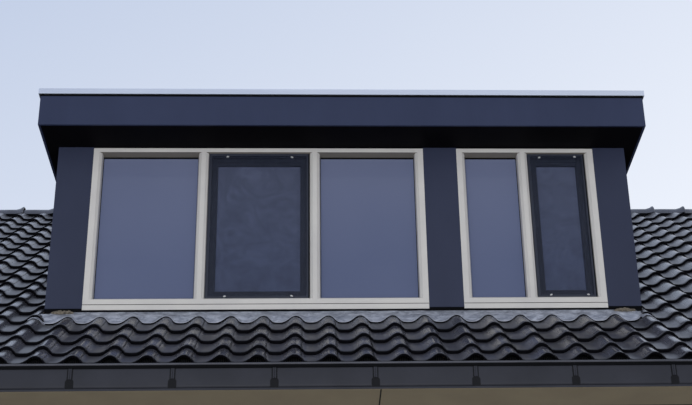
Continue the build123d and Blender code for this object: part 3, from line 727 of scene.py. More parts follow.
# Ridge
ridge = {
    "y": 5.78123, "z": 4.35957, "radius": 0.086, "wall": 0.012, "cover": 0.360, "collarRadius": 0.119,
    "lastCollar": 4.061, "count": 24, "flats": 14, "tilt": 0.002,
    # along the tile, share of the collar
    "swell": ((-0.004, 0.0), (0.270, 0.0), (0.318, 0.4), (0.344, 0.92), (0.354, 1.0), (0.360, 0.86)),
}


def ridgeTileMesh():
    # half round body that swells to its collar and ends in a steep lip
    count = ridge["flats"] + 1
    points, faces, paintedShade = [], [], []
    for x, share in ridge["swell"]:
        for wall in (0.0, ridge["wall"]):
            for n in range(count):
                angle = math.pi * n / ridge["flats"]
                reach = ridge["radius"] + (ridge["collarRadius"] - ridge["radius"]) * share - wall
                points.append((x, reach * math.cos(angle), reach * math.sin(angle)))
                # the cap's inside is painted black: painted shade under the cap
                paintedShade.append(1.0 if wall else 0.0)
    ring = 2 * count
    for r in range(len(ridge["swell"]) - 1):
        for n in range(ridge["flats"]):
            a = r * ring + n
            faces.append((a, a + 1, a + ring + 1, a + ring))
            faces.append((a + count, a + count + 1, a + count + ring + 1, a + count + ring))
        for n in (0, ridge["flats"]):
            a = r * ring + n
            faces.append((a, a + count, a + count + ring, a + ring))
    for base in (0, (len(ridge["swell"]) - 1) * ring):
        for n in range(ridge["flats"]):
            faces.append((base + n, base + n + 1, base + n + 1 + count, base + n + count))
    mesh = meshFrom("ridgeTile", points, faces, 38)
    mesh.attributes.new("noseDamp", "FLOAT", "POINT").data.foreach_set("value", paintedShade)
    return mesh


def rowTree():
    # copies of one shape in a straight row
    tree, given, end = newTree("straightRow", [
        ("Shape", "Object"), ("Count", "Int"), ("Start", "Vector"), ("Step", "Vector"),
        ("Tilt", "Float"), ("Seed", "Int"), ("Material", "Material"),
    ])
    line = addNode(
        tree, "GeometryNodeMeshLine", {}, {0: given["Count"], 2: given["Start"], 3: given["Step"]},
    ).outputs[0]
    shape = addNode(tree, "GeometryNodeObjectInfo", {}, {0: given["Shape"]}).outputs["Geometry"]
    wobble = addNode(
        tree, "FunctionNodeRandomValue",
        {"data_type": "FLOAT_VECTOR", 0: (-1.0, -1.0, -1.0), 1: (1.0, 1.0, 1.0)}, {8: given["Seed"]},
    ).outputs[0]
    turned = addNode(
        tree, "ShaderNodeVectorMath", {"operation": "SCALE"}, {0: wobble, 3: given["Tilt"]},
    ).outputs[0]
    laid = addNode(tree, "GeometryNodeInstanceOnPoints", {}, {0: line, 2: shape, 5: turned}).outputs[0]
    tone = addNode(
        tree, "FunctionNodeRandomValue", {"data_type": "FLOAT", 2: 0.0, 3: 1.0}, {8: given["Seed"]},
    ).outputs[1]
    toned = addNode(
        tree, "GeometryNodeStoreNamedAttribute",
        {"data_type": "FLOAT", "domain": "INSTANCE", "Name": "tileTone"}, {0: laid, 3: tone},
    ).outputs[0]
    real = addNode(tree, "GeometryNodeRealizeInstances", {}, {0: toned}).outputs[0]
    painted = addNode(tree, "GeometryNodeSetMaterial", {}, {0: real, 2: given["Material"]}).outputs[0]
    tree.links.new(painted, end.inputs[0])
    return tree


straightRow = rowTree()
ridgeShape = heldShape("ridgeTile", ridgeTileMesh())
ridgeRow = grownMesh("ridgeRow", straightRow, {
    "Shape": ridgeShape, "Count": ridge["count"], "Step": (-ridge["cover"], 0.0, 0.0),
    "Start": (ridge["lastCollar"], ridge["y"], ridge["z"]),
    "Tilt": ridge["tilt"], "Seed": 6, "Material": finish["ridge"],
})
ridgeRow = withinBay(ridgeRow)
newPiece("ridgeCaps", ridgeRow, finish["ridge"], ["ridge_tiles"])

# Black sheet that closes the pans under the caps: painted shade of the open pans under the ridge
ridgeShade = {
    "front": 5.712, "back": 5.779, "frontLow": 4.28, "frontTop": 4.395, "backTop": 4.425, "backLow": 4.31,
}
ridgeShadeOutline = [
    (ridgeShade["front"], ridgeShade["frontLow"]),
    (ridgeShade["front"], ridgeShade["frontTop"]),
    (ridgeShade["back"], ridgeShade["backTop"]),
    (ridgeShade["back"], ridgeShade["backLow"]),
]
ridgeShadeMesh = meshFrom("ridgeVentRoll", *drawnAlongX(ridgeShadeOutline, roof["left"], roof["right"]))
newPiece("ridgeVentRoll", ridgeShadeMesh, finish["shadeAndSeal"])
print("ridge capped")

# Lead apron
apron = {
    "panEdge": 0.810, "rollEdge": 0.838, "fold": 0.905, "back": 0.926, "backTop": 1.053, "dressFrom": 0.845,
    "columns": 560, "thickness": 0.003, "crumple": 0.0035, "cornerFrom": 2.185, "cornerDrop": 0.006,
    "cornerRun": 0.03, "lip": 0.008, "wallY": 0.9195, "edgeDrift": 0.006, "rows": 17,
    "upstandDrift": 0.003, "upstandDrop": 0.012, "upstandBevel": (0.006, 0.004),
    "edgeShadowHeight": 0.014, "edgeShadowSet": 0.003, "edgeShadowDepth": 0.006, "edgeShadowGap": 0.002,
}


def apronZ(x, y):
    wall = apron["wallY"]
    base = roofZ(wall, roof["seat"]) - roof["fall"] * (wall - y)
    up = smoothStep((y - apron["dressFrom"]) / (apron["fold"] - apron["dressFrom"]))
    low = dressedWave(x)
    shape = low + (roof["waveHeight"] - low) * up
    return base + (shape + roof["thickness"] + apron["thickness"] / 2) / roof["cos"]


def apronEdge(x):
    share = min(1.0, dressedWave(x) / roof["waveHeight"] * 1.5)
    drift = apron["edgeDrift"] * noise.noise(Vector((x * 5, 0, 3)))
    return apron["panEdge"] + (apron["rollEdge"] - apron["panEdge"]) * share + drift


def lipHeight(x):
    # the turned up lower edge stands highest in the pans
    return apron["lip"] * (1.4 - 0.5 * dressedWave(x) / roof["waveHeight"])


def apronEdgeShadowShape():
    # a black strip under the sheet's lower edge: painted shadow line beneath that edge
    points, faces = [], []
    for i in range(apron["columns"] + 1):
        x = -roof["fieldEdge"] + 2 * roof["fieldEdge"] * i / apron["columns"]
        y = apronEdge(x) + apron["edgeShadowSet"]
        top = apronZ(x, y) + lipHeight(x) - apron["edgeShadowGap"]
        low, back = top - apron["edgeShadowHeight"], y + apron["edgeShadowDepth"]
        points += [(x, y, top), (x, y, low), (x, back, low + 0.004), (x, back, top + 0.003)]  # up the slope
    for i in range(apron["columns"]):
        for k in range(4):
            faces.append((4 * i + k, 4 * i + (k + 1) % 4, 4 * i + 4 + (k + 1) % 4, 4 * i + 4 + k))
    last = 4 * apron["columns"]
    return points, faces + [(0, 1, 2, 3), (last, last + 1, last + 2, last + 3)]


def apronMesh():
    points, faces, edgeHighlight = [], [], []
    rows = apron["rows"]  # the last two are the upstand behind the sills
    for i in range(apron["columns"] + 1):
        x = -roof["fieldEdge"] + 2 * roof["fieldEdge"] * i / apron["columns"]
        share = dressedWave(x) / roof["waveHeight"]
        edge = apronEdge(x)
        atCorner = smoothStep((abs(x) - apron["cornerFrom"]) / apron["cornerRun"])
        for n in range(rows - 2):
            y = edge + (apron["fold"] - edge) * n / (rows - 3)
            broad = noise.noise(Vector((x * 16, y * 22, 0)))
            fine = 0.7 * noise.noise(Vector((x * 43, y * 34, 5)))
            lift = apron["crumple"] * max(0.0, 1 + broad + fine) * (0.5 if n else 0.15)
            lip = lipHeight(x) * smoothStep(1 - n / 5)
            sunk = atCorner * apron["cornerDrop"] * smoothStep((n - 6) / 6)
            points.append((x, y, apronZ(x, y) + lift + lip - sunk))
            # the two lowest rows in the pans are painted bright: painted highlight
            edgeHighlight.append((1.0 if n == 0 else 0.75 if n == 1 else 0.0) * max(0.0, 1 - 1.4 * share))
        drift = apron["upstandDrift"] * noise.noise(Vector((x * 7, 1, 0)))
        rise = apron["backTop"] + drift - atCorner * apron["upstandDrop"]
        inward, down = apron["upstandBevel"]
        points += [(x, apron["back"] - inward, rise - down), (x, apron["back"], rise)]
        edgeHighlight += [0.0, 0.0]
    for i in range(apron["columns"]):
        for n in range(rows - 1):
            a = i * rows + n
            faces.append((a, a + 1, a + rows + 1, a + rows))
    mesh = meshFrom("leadApron", points, faces, 50)
    mesh.attributes.new("leadEdgeHighlight", "FLOAT", "POINT").data.foreach_set("value", edgeHighlight)
    return mesh


leadSheet = newPiece("leadApron", apronMesh(), finish["lead"], ["lead_apron"])
wall = leadSheet.modifiers.new("sheet", "SOLIDIFY")
wall.thickness = apron["thickness"]
wall.offset = 0
# black strip: painted shadow line under the sheet's lower edge
newPiece("apronFootSeal", meshFrom("apronFootSeal", *apronEdgeShadowShape(), 40), finish["shadeAndSeal"])
print("lead dressed")

# Black strips that paint the shadow lines under the sills, the panels and the edge trim and the shade behind
# the eaves board; one is a dark joint in that board
shadeAndSeal = {
    # boxes as ranges of x, y and z
    # painted shadow under the sills
    "sill": (-2.238, 2.238, 0.9256, 0.9296, 1.040, 1.0699),
    # painted shadow under the pier panels
    "piers": ((-2.25, -1.9754), (0.6249, 0.8911), (1.9915, 2.25)),
    "pier": (0.9215, 0.9296, 1.066, 1.0802),
    # painted shadow under the edge trim
    "trimOut": 2.3635, "trimIn": 2.3601, "trimFront": (0.5665, 0.5699), "trimBack": 3.33,
    "trimLine": (2.7262, 2.7412),
    "eavesJoint": (0.1735, 0.1825, -0.3812, -0.05, -0.0661, -0.0659),
    # painted shade behind the eaves board
    "eavesBack": (-0.0499, 0.0, -0.0655, -0.0545),
}
trimSides = [sorted((side * shadeAndSeal["trimOut"], side * shadeAndSeal["trimIn"])) for side in (-1, 1)]
shadeAndJointBoxes = [boxShape(*shadeAndSeal["sill"])] + [boxShape(*pier, *shadeAndSeal["pier"]) for pier in shadeAndSeal["piers"]]
shadeAndJointBoxes.append(boxShape(-shadeAndSeal["trimOut"], shadeAndSeal["trimOut"], *shadeAndSeal["trimFront"], *shadeAndSeal["trimLine"]))
shadeAndJointBoxes += [
    boxShape(*side, shadeAndSeal["trimFront"][0], shadeAndSeal["trimBack"], *shadeAndSeal["trimLine"]) for side in trimSides
]
shadeAndJointBoxes += [boxShape(*shadeAndSeal["eavesJoint"]), boxShape(roof["left"], roof["right"], *shadeAndSeal["eavesBack"])]
newPiece("lineSeals", meshFrom("lineSeals", *joined(shadeAndJointBoxes)), finish["shadeAndSeal"])

# Corners of the leadwork, where crumpled soakers and bedding close the gap to the side tiles
corner = {
    "inner": 2.215, "outer": 2.345, "low": 0.80, "high": 0.925, "across": 26, "along": 18, "fold": 0.010,
    "beddingFrom": 2.03, "beddingTo": 2.20, "beddingY": 0.915, "beddingZ": 1.045, "beddingSize": 0.018,
    "beddingSteps": 30, "beddingSides": 8,
    # the black box below each pier's corner: painted shade
    "shadeBox": (0.9302, 0.9342, 1.02, 1.079), "shadeFrom": 2.16, "shadeTo": 2.252,
    "level": 0.86,  # behind this the soakers follow the tiles' slope
    "lift": 0.004, "thickness": 0.002, "ragged": 0.008,
}


def soakerMesh(side):
    points, faces = [], []
    for i in range(corner["across"] + 1):
        for j in range(corner["along"] + 1):
            x = side * (corner["inner"] + (corner["outer"] - corner["inner"]) * i / corner["across"])
            drift = corner["ragged"] * noise.noise(Vector((x * 30, 0, 7)))
            y = corner["low"] + (corner["high"] - corner["low"]) * j / corner["along"] + drift
            crease = noise.noise(Vector((x * 34, y * 26, 2))) + 0.6 * noise.noise(Vector((x * 70, y * 60, 4)))
            z = apronZ(x, min(y, corner["level"])) + roof["fall"] * max(0.0, y - corner["level"])
            points.append((x, y, z + corner["lift"] + corner["fold"] * max(0.0, crease)))
    for i in range(corner["across"]):
        for j in range(corner["along"]):
            a = i * (corner["along"] + 1) + j
            faces.append((a, a + 1, a + corner["along"] + 2, a + corner["along"] + 1))
    return meshFrom("soaker", points, faces, 50)


def beddingShape(side):
    # a rough fillet, thicker here and there
    points, faces = [], []
    steps, sides = corner["beddingSteps"], corner["beddingSides"]
    for i in range(steps + 1):
        x = side * (corner["beddingFrom"] + (corner["beddingTo"] - corner["beddingFrom"]) * i / steps)
        end = math.sin(math.pi * i / steps) ** 0.4 if 0 < i < steps else 0.05
        for k in range(sides):
            turn = 2 * math.pi * k / sides
            lumps = 0.45 * noise.noise(Vector((x * 40, turn, side * 3)))
            crumbs = 0.5 * noise.noise(Vector((x * 130, turn * 2, side * 5)))
            size = corner["beddingSize"] * end * (1 + lumps + crumbs)
            y = corner["beddingY"] + 0.7 * size * math.cos(turn)
            points.append((x, y, corner["beddingZ"] + size * math.sin(turn)))
    for i in range(steps):
        for k in range(sides):
            a, b = sides * i + k, sides * i + (k + 1) % sides
            faces.append((a, b, b + sides, a + sides))
    return points, faces + [tuple(range(sides)), tuple(range(steps * sides, (steps + 1) * sides))]


soakers = newPiece(
    "cornerSoakers", merged("cornerSoakers", [soakerMesh(-1), soakerMesh(1)]), finish["lead"],
)
wall = soakers.modifiers.new("sheet", "SOLIDIFY")
wall.thickness = corner["thickness"]
wall.offset = 0
newPiece(
    "cornerBedding", meshFrom("cornerBedding", *joined([beddingShape(-1), beddingShape(1)]), 60),
    finish["mortar"],
)
# black boxes below the piers' corners: painted shade
shadeSides = [sorted((side * corner["shadeFrom"], side * corner["shadeTo"])) for side in (-1, 1)]
cornerShades = [boxShape(*side, *corner["shadeBox"]) for side in shadeSides]
newPiece("cornerFlaps", meshFrom("cornerFlaps", *joined(cornerShades)), finish["shadeAndSeal"])
print("corners closed")

# Gutter and its straps
gutter = {
    "front": -0.381, "faceTop": -0.3665, "faceLow": -0.374, "back": -0.211, "low": -0.050, "top": 0.118,
    "faceBelow": 0.01,  # the face ends this far below the back
    "wall": 0.003, "lowRound": 0.026, "backRound": 0.012, "bead": 0.008, "beadSides": 12, "beadTop": 0.128,
    "beadShadow": (-0.3755, -0.3672, 0.092, 0.1135),    # black strip: painted shadow under the bead
    "drip": (-0.3822, -0.3811, -0.0635, -0.0498),  # a dark strip in the gutter's colour over the front edge of the board below: painted shade on that edge
}


def rounding(cy, cz, radius, start, end, steps=6):
    return [
        (
            cy + radius * math.cos(math.radians(start + (end - start) * n / steps)),
            cz + radius * math.sin(math.radians(start + (end - start) * n / steps)),
        )
        for n in range(steps + 1)
    ]


def gutterMesh():
    # the face leans out a little towards its foot
    faceTop, faceLow, back = gutter["faceTop"], gutter["faceLow"], gutter["back"]
    low, top, thick = gutter["low"], gutter["top"], gutter["wall"]
    big, small, faceEnd = gutter["lowRound"], gutter["backRound"], top - gutter["faceBelow"]
    outer = [(back, top)] + rounding(back - small, low + small, small, 0, -90)
    outer += rounding(faceLow + big, low + big, big, -90, -180) + [(faceTop, faceEnd)]
    inner = [(faceTop + thick, faceEnd)] + rounding(faceLow + big, low + big, big - thick, -180, -90)
    inner += rounding(back - small, low + small, small - thick, -90, 0) + [(back - thick, top)]
    # painted shade over the board's front edge
    drip = boxShape(roof["left"], roof["right"], *gutter["drip"])
    shapes = [drawnAlongX(outer + inner, roof["left"], roof["right"]), drip]
    for x in (roof["left"], roof["right"] - thick):
        shapes.append(drawnAlongX(outer, x, x + thick))
    return meshFrom("eavesGutter", *joined(shapes), 40)


def beadMesh():
    # the round bead overhangs the face
    radius, sides = gutter["bead"], gutter["beadSides"]
    ring = rounding(
        gutter["front"] + radius, gutter["beadTop"] - radius, radius, 0, 360 - 360 / sides, sides - 1,
    )
    return meshFrom("gutterBead", *drawnAlongX(ring, roof["left"], roof["right"]), 40)


newPiece("gutterBead", beadMesh(), finish["bead"])
newPiece("eavesGutter", gutterMesh(), finish["gutter"], ["gutter"])
beadShadowMesh = meshFrom("gutterRail", *boxShape(roof["left"], roof["right"], *gutter["beadShadow"]))
newPiece("gutterRail", beadShadowMesh, finish["shadeAndSeal"])

strap = {
    "plateHalf": 0.0185, "plateLow": 0.018, "footHalf": 0.027, "footTop": 0.006, "footRound": 0.024,
    "ribHalf": 0.0105, "ribSplit": 0.0012, "ribLow": 0.020, "ribTop": 0.096,
    "top": 0.097, "first": -3.755, "step": 0.650, "count": 13, "below": 0.004,
    "underFront": -0.372, "underBack": -0.2075, "behind": -0.2072,
    "plate": 0.003, "plateProud": 0.002, "ribProud": 0.0055,
}


def faceY(z):
    share = (z - gutter["low"]) / (gutter["top"] - gutter["low"])
    return gutter["faceLow"] + (gutter["faceTop"] - gutter["faceLow"]) * share


def strapOutline():
    # seen from the front: a narrow plate that widens to a rounded foot
    plate, foot, r = strap["plateHalf"], strap["footHalf"], strap["footRound"]
    heel = rounding(foot - r, gutter["low"] - strap["below"] + r, r, 0, -90, 5)
    right = [(plate, strap["top"]), (plate, strap["plateLow"]), (foot, strap["footTop"])] + heel
    return right + [(-x, z) for x, z in reversed(right)]


def upright(outline, depth, proud):
    # an outline of x and z set on the gutter's face
    points = [(x, faceY(z) - proud, z) for x, z in outline]
    points += [(x, faceY(z) - proud + depth, z) for x, z in outline]
    return points, prismFaces(len(outline))


def strapMesh():
    low, half = gutter["low"] - strap["below"], strap["plateHalf"]
    face = upright(strapOutline(), strap["plate"], strap["plateProud"])
    under = boxShape(-half, half, strap["underFront"], strap["underBack"], low, gutter["low"])
    behind = boxShape(-half, half, gutter["back"], strap["behind"], low, gutter["top"])
    return meshFrom("gutterStrap", *joined([face, under, behind]))


def ribMesh():
    # the two lighter ribs that are pressed into the strap's middle
    shapes = []
    top, low = strap["ribTop"], strap["ribLow"]
    for side in (-1, 1):
        inner, outer = side * strap["ribSplit"], side * strap["ribHalf"]
        rib = [(inner, top), (outer, top), (outer, low), (inner, low)]
        shapes.append(upright(rib, strap["plate"], strap["ribProud"]))
    return meshFrom("strapRib", *joined(shapes))


strapShape = heldShape("gutterStrap", strapMesh())
ribShape = heldShape("strapRib", ribMesh())


def strapRow(name, shape, material):
    return grownMesh(name, straightRow, {
        "Shape": shape, "Count": strap["count"],
        "Start": (strap["first"], 0.0, 0.0), "Step": (strap["step"], 0.0, 0.0),
        "Tilt": 0.0, "Seed": 8, "Material": material,
    })


newPiece(
    "gutterStraps", strapRow("strapRow", strapShape, finish["strap"]), finish["strap"],
    ["gutter_brackets"],
)
newPiece("strapRibs", strapRow("ribRow", ribShape, finish["gutter"]), finish["gutter"])

# Eaves comb: black teeth that keep birds out from under the rolls
comb = {
    "y": -0.200, "base": 0.100, "tooth": 0.0112, "step": 0.012, "depth": 0.003,
    "rise": 0.048,   # how much further the teeth reach under a roll, square to the slope
    "clear": 0.001,  # left open under the tiles
}


def combTree():
    tree, given, end = newTree("eavesComb", [
        ("Tooth", "Object"), ("Count", "Int"), ("Start", "Vector"), ("Step", "Vector"), ("Cover", "Float"),
        ("Centre", "Float"), ("Low", "Float"), ("Wave", "Float"), ("Material", "Material"),
    ])
    line = addNode(
        tree, "GeometryNodeMeshLine", {}, {0: given["Count"], 2: given["Start"], 3: given["Step"]},
    ).outputs[0]
    across = addNode(
        tree, "ShaderNodeSeparateXYZ", {}, {0: addNode(tree, "GeometryNodeInputPosition").outputs[0]},
    ).outputs[0]
    fromRoll = addNode(
        tree, "ShaderNodeMath", {"operation": "SUBTRACT"}, {0: across, 1: given["Centre"]},
    ).outputs[0]
    turns = addNode(
        tree, "ShaderNodeMath", {"operation": "DIVIDE"}, {0: fromRoll, 1: given["Cover"]},
    ).outputs[0]
    angle = addNode(tree, "ShaderNodeMath", {"operation": "MULTIPLY", 1: 2 * math.pi}, {0: turns}).outputs[0]
    crest = addNode(tree, "ShaderNodeMath", {"operation": "COSINE"}, {0: angle}).outputs[0]
    share = addNode(
        tree, "ShaderNodeMath", {"operation": "MULTIPLY_ADD", 1: 0.5, 2: 0.5}, {0: crest},
    ).outputs[0]
    bell = addNode(tree, "ShaderNodeMath", {"operation": "POWER", 1: 1.6}, {0: share}).outputs[0]
    height = addNode(
        tree, "ShaderNodeMath", {"operation": "MULTIPLY_ADD"}, {0: bell, 1: given["Wave"], 2: given["Low"]},
    ).outputs[0]
    size = addNode(tree, "ShaderNodeCombineXYZ", {0: 1.0, 1: 1.0}, {2: height}).outputs[0]
    tooth = addNode(tree, "GeometryNodeObjectInfo", {}, {0: given["Tooth"]}).outputs["Geometry"]
    laid = addNode(tree, "GeometryNodeInstanceOnPoints", {}, {0: line, 2: tooth, 6: size}).outputs[0]
    real = addNode(tree, "GeometryNodeRealizeInstances", {}, {0: laid}).outputs[0]
    painted = addNode(tree, "GeometryNodeSetMaterial", {}, {0: real, 2: given["Material"]}).outputs[0]
    tree.links.new(painted, end.inputs[0])
    return tree


toothShape = heldShape(
    "combTooth",
    meshFrom("combTooth", *boxShape(-comb["tooth"] / 2, comb["tooth"] / 2, 0, comb["depth"], 0, 1)),
)
combCount = int((roof["right"] - roof["left"]) / comb["step"])
tileHead = roof["eavesNose"] + roof["eavesRun"]
combUnder = roofZ(tileHead, roof["seat"]) - roof["fall"] * (tileHead - comb["y"])
combMesh = grownMesh("eavesComb", combTree(), {
    "Tooth": toothShape, "Count": combCount, "Cover": roof["cover"], "Centre": roof["waveCentre"],
    "Start": (roof["left"] + comb["step"] / 2, comb["y"], comb["base"]), "Step": (comb["step"], 0.0, 0.0),
    "Low": combUnder - comb["base"] - comb["clear"], "Wave": comb["rise"] / roof["cos"],
    "Material": finish["shadeAndSeal"],
})
newPiece("eavesComb", combMesh, finish["shadeAndSeal"])
for shape in list(tileShapes.values()) + [ridgeShape, strapShape, ribShape, toothShape]:
    bpy.data.objects.remove(shape)
print("gutter hung")

# Windows
window = {
    "left": (-1.97533, 0.62467), "right": (0.89133, 1.99133), "low": 1.11325, "high": 2.47025,
    "leftLights": ((-1.90533, -1.15533), (-1.07033, -0.28033), (-0.19533, 0.55467)),
    "rightLights": ((0.96133, 1.37883), (1.46383, 1.92133)),
    "opening": 1,  # the second light of each window opens
    "lightLow": 1.16825, "lightHigh": 2.42825, "front": 0.920, "back": 1.034,
    # inset, y, inset at head and foot
    "bevel": [(-0.026, 0.920, 0.0, -0.012), (-0.006, 0.936, 0.003, -0.001), (0.0, 0.956, 0.007, 0.0)],
    "fixedRebate": 0.9905, "fixedInset": -0.0125, "sashRebate": 0.9625, "sashInset": -0.0142,
    # the black strip along the head of the fixed glass is painted shadow under the head
    "gasket": 0.004, "headShadow": 0.024, "headFall": 0.013, "soffitLine": 0.0075, "sashGap": (0.030, 0.041),
    "sashBar": [
        (-0.001, 0.9878), (-0.001, 0.968), (0.016, 0.968, 0.043, 0.017), (0.018, 0.9878, 0.045, 0.019),
    ],
    # inset and y of the insect screen's frame, a thin section with a raised inner lip
    "screenRail": [
        (0.0006, 0.951), (0.0006, 0.943), (0.002, 0.940), (0.006, 0.940), (0.0085, 0.9435),
        (0.016, 0.9435), (0.018, 0.941), (0.021, 0.941), (0.022, 0.943), (0.022, 0.951),
    ],
    "gasketBack": (0.9855, 0.988, 0.9918), "headShadowDepth": (0.9860, 0.9917), "sashBarInset": 0.053,
    "shadeAndGrime": 0.85,  # how dark and brown the head's underside is painted: painted shade, with grime
    # black strips in the gap above the sash and beside the screen's right rail: painted shade
    "sashGapShade": (0.9625, 0.9639), "stileGapShade": (0.0075, 0.0004, 0.9385, 0.9396), "stileEnd": 0.002,
    # dark lines where the frame meets the sill and the soffit
    "jointLine": 0.0022, "jointEnd": 0.001, "jointDepth": 0.001, "sillProud": 0.0006, "headProud": 0.0012,
    "headTop": 0.0001,
}
frameShapes, gasketAndShadeShapes, screenShapes, barShapes, shadeAndGrime = [], [], [], [], []


def dressLight(light, outside, sashed):
    # the reveal around one light, and what closes it to the glass
    a, b, low, high = light
    sort = "sash" if sashed else "fixed"
    rebate, inset = window[sort + "Rebate"], window[sort + "Inset"]
    section = [(None, window["back"]), (None, window["front"])] + window["bevel"]
    section += [(0.0, rebate, window["headFall"], 0.0), (inset, rebate), (inset, window["back"])]
    frameShapes.append(mitredRing(light, section, outside))
    # the head's underside is painted darker and browner: painted shade, with grime
    headReveal = range(2 * len(section) + 2, 2 * len(section) + 5)
    shadeAndGrime.extend(window["shadeAndGrime"] if k in headReveal else 0.0 for k in range(4 * len(section)))
    if sashed:
        gapLow, gapHigh = window["sashGap"]
        # painted shade in the gap above the sash
        gasketAndShadeShapes.append(boxShape(a, b, *window["sashGapShade"], high - gapHigh, high - gapLow))
        outer, inner, front, back = window["stileGapShade"]
        end = window["stileEnd"]
        # painted shade in the gap beside the screen's right rail
        gasketAndShadeShapes.append(boxShape(b - outer, b - inner, front, back, low + end, high - end))
        edge = window["sashBarInset"]
        barShapes.append(mitredRing((a + edge, b - edge, low + edge, high - edge), window["sashBar"]))
        screenShapes.append(mitredRing(light, window["screenRail"]))
    else:
        k, (front, middle, back) = window["gasket"], window["gasketBack"]
        gasketAndShadeShapes.append(
            mitredRing(light, [(0.0, front), (k * 0.6, front), (k, middle), (k, back), (0.0, back)])
        )
        # black strip along the head of the glass: painted shadow under the head
        gasketAndShadeShapes.append(boxShape(a, b, *window["headShadowDepth"], high - window["headShadow"], high))


for (x0, x1), lights in ((window["left"], window["leftLights"]), (window["right"], window["rightLights"])):
    bars = [x0] + [(lights[n][1] + lights[n + 1][0]) / 2 for n in range(len(lights) - 1)] + [x1]
    for n, (a, b) in enumerate(lights):
        light = (a, b, window["lightLow"], window["lightHigh"])
        dressLight(light, (bars[n], bars[n + 1], window["low"], window["high"]), n == window["opening"])
    low, high, front = window["low"], window["high"], window["front"]
    end, line, back = window["jointEnd"], window["jointLine"], front + window["jointDepth"]
    sillJoint = boxShape(x0 + end, x1 - end, front - window["sillProud"], back, low - line, low + line)
    soffitJoint = boxShape(
        x0, x1, front - window["headProud"], back, high - window["soffitLine"], high - window["headTop"],
    )
    gasketAndShadeShapes += [sillJoint, soffitJoint]
framesMesh = meshFrom("windowFrames", *joined(frameShapes), 20)
framesMesh.attributes.new("headShadeAndGrime", "FLOAT", "FACE").data.foreach_set("value", shadeAndGrime)
newPiece(
    "windowFrames", framesMesh, finish["frame"],
    ["left_window_frame", "right_window_frame"],
)
# real gaskets and joints, and black strips of painted shade
newPiece(
    "windowGaskets", meshFrom("windowGaskets", *joined(gasketAndShadeShapes), 20), finish["shadeAndSeal"],
)
newPiece("sashGlazingRims", meshFrom("sashGlazingRims", *joined(barShapes), 20), finish["sash"])
newPiece(
    "screenFrames", meshFrom("screenFrames", *joined(screenShapes), 20), finish["screen"],
    ["screen_frames"],
)

clip = {
    "places": (
        (-0.925, 2.395), (-0.418, 2.391), (-0.920, 1.184), (-0.415, 1.185),
        (1.560, 2.391), (1.846, 2.397), (1.565, 1.186), (1.852, 1.186),
    ),
    "half": 0.011, "height": 0.0045, "front": 0.928, "back": 0.941, "sides": 10,
    "raised": 0.004, "tilt": 0.25,
}


def clipShape(x, z, tilt):
    # a small turning clip: a rounded bar with a raised middle
    shapes = []
    long, high, front, count = clip["half"], clip["height"], clip["front"], clip["sides"]
    for half, height, face in ((long, high, front + clip["raised"]), (high, high * 1.1, front)):
        rim = []
        for n in range(count):
            angle = 2 * math.pi * n / count
            u, v = half * math.cos(angle), height * math.sin(angle)
            rim.append(
                (x + u * math.cos(tilt) - v * math.sin(tilt), z + u * math.sin(tilt) + v * math.cos(tilt))
            )
        points = [(a, face, b) for a, b in rim] + [(a, clip["back"], b) for a, b in rim]
        shapes.append((points, prismFaces(count)))
    return joined(shapes)


clips = [clipShape(x, z, clip["tilt"] * (-1) ** n) for n, (x, z) in enumerate(clip["places"])]
newPiece("screenClips", meshFrom("screenClips", *joined(clips), 40), finish["clip"])
print("windows fitted")

# Floor, world, lamps and camera
stage = {
    "floorZ": -5.05,  # street level, an eye's height below the camera
    "floorHalf": 60.0, "floor": "E4E5E7",
    "lampPlace": (-1, -16, -1.5), "lampTarget": (0, 1.5, 2), "lampSize": 10, "lampPower": 1350,
}


def paleFloor():
    # plain studio floor
    values = {"Roughness": 0.9, "Specular IOR Level": 0.1, "Base Color": toLinear(stage["floor"])}
    return newMaterial("paleStudioFloor", values)[0]


half, floorZ = stage["floorHalf"], stage["floorZ"]
floorMesh = bpy.data.meshes.new("studioFloor")
floorCorners = [(-half, -half, floorZ), (half, -half, floorZ), (half, half, floorZ), (-half, half, floorZ)]
floorMesh.from_pydata(floorCorners, [], [(0, 1, 2, 3)])
floorMesh.materials.append(paleFloor())
floor = bpy.data.objects.new("studioFloor", floorMesh)
bpy.context.scene.collection.objects.link(floor)

sky = {
    "dark": "C4D0E7", "light": "F0F5FF", "fadeUp": -2.71, "fadeRight": 1.27, "fadeFrom": 1.81,
    "top": 0.38, "horizon": 0.62, "under": 0.4, "behind": 1.1,  # strength of the soft light from each side
}


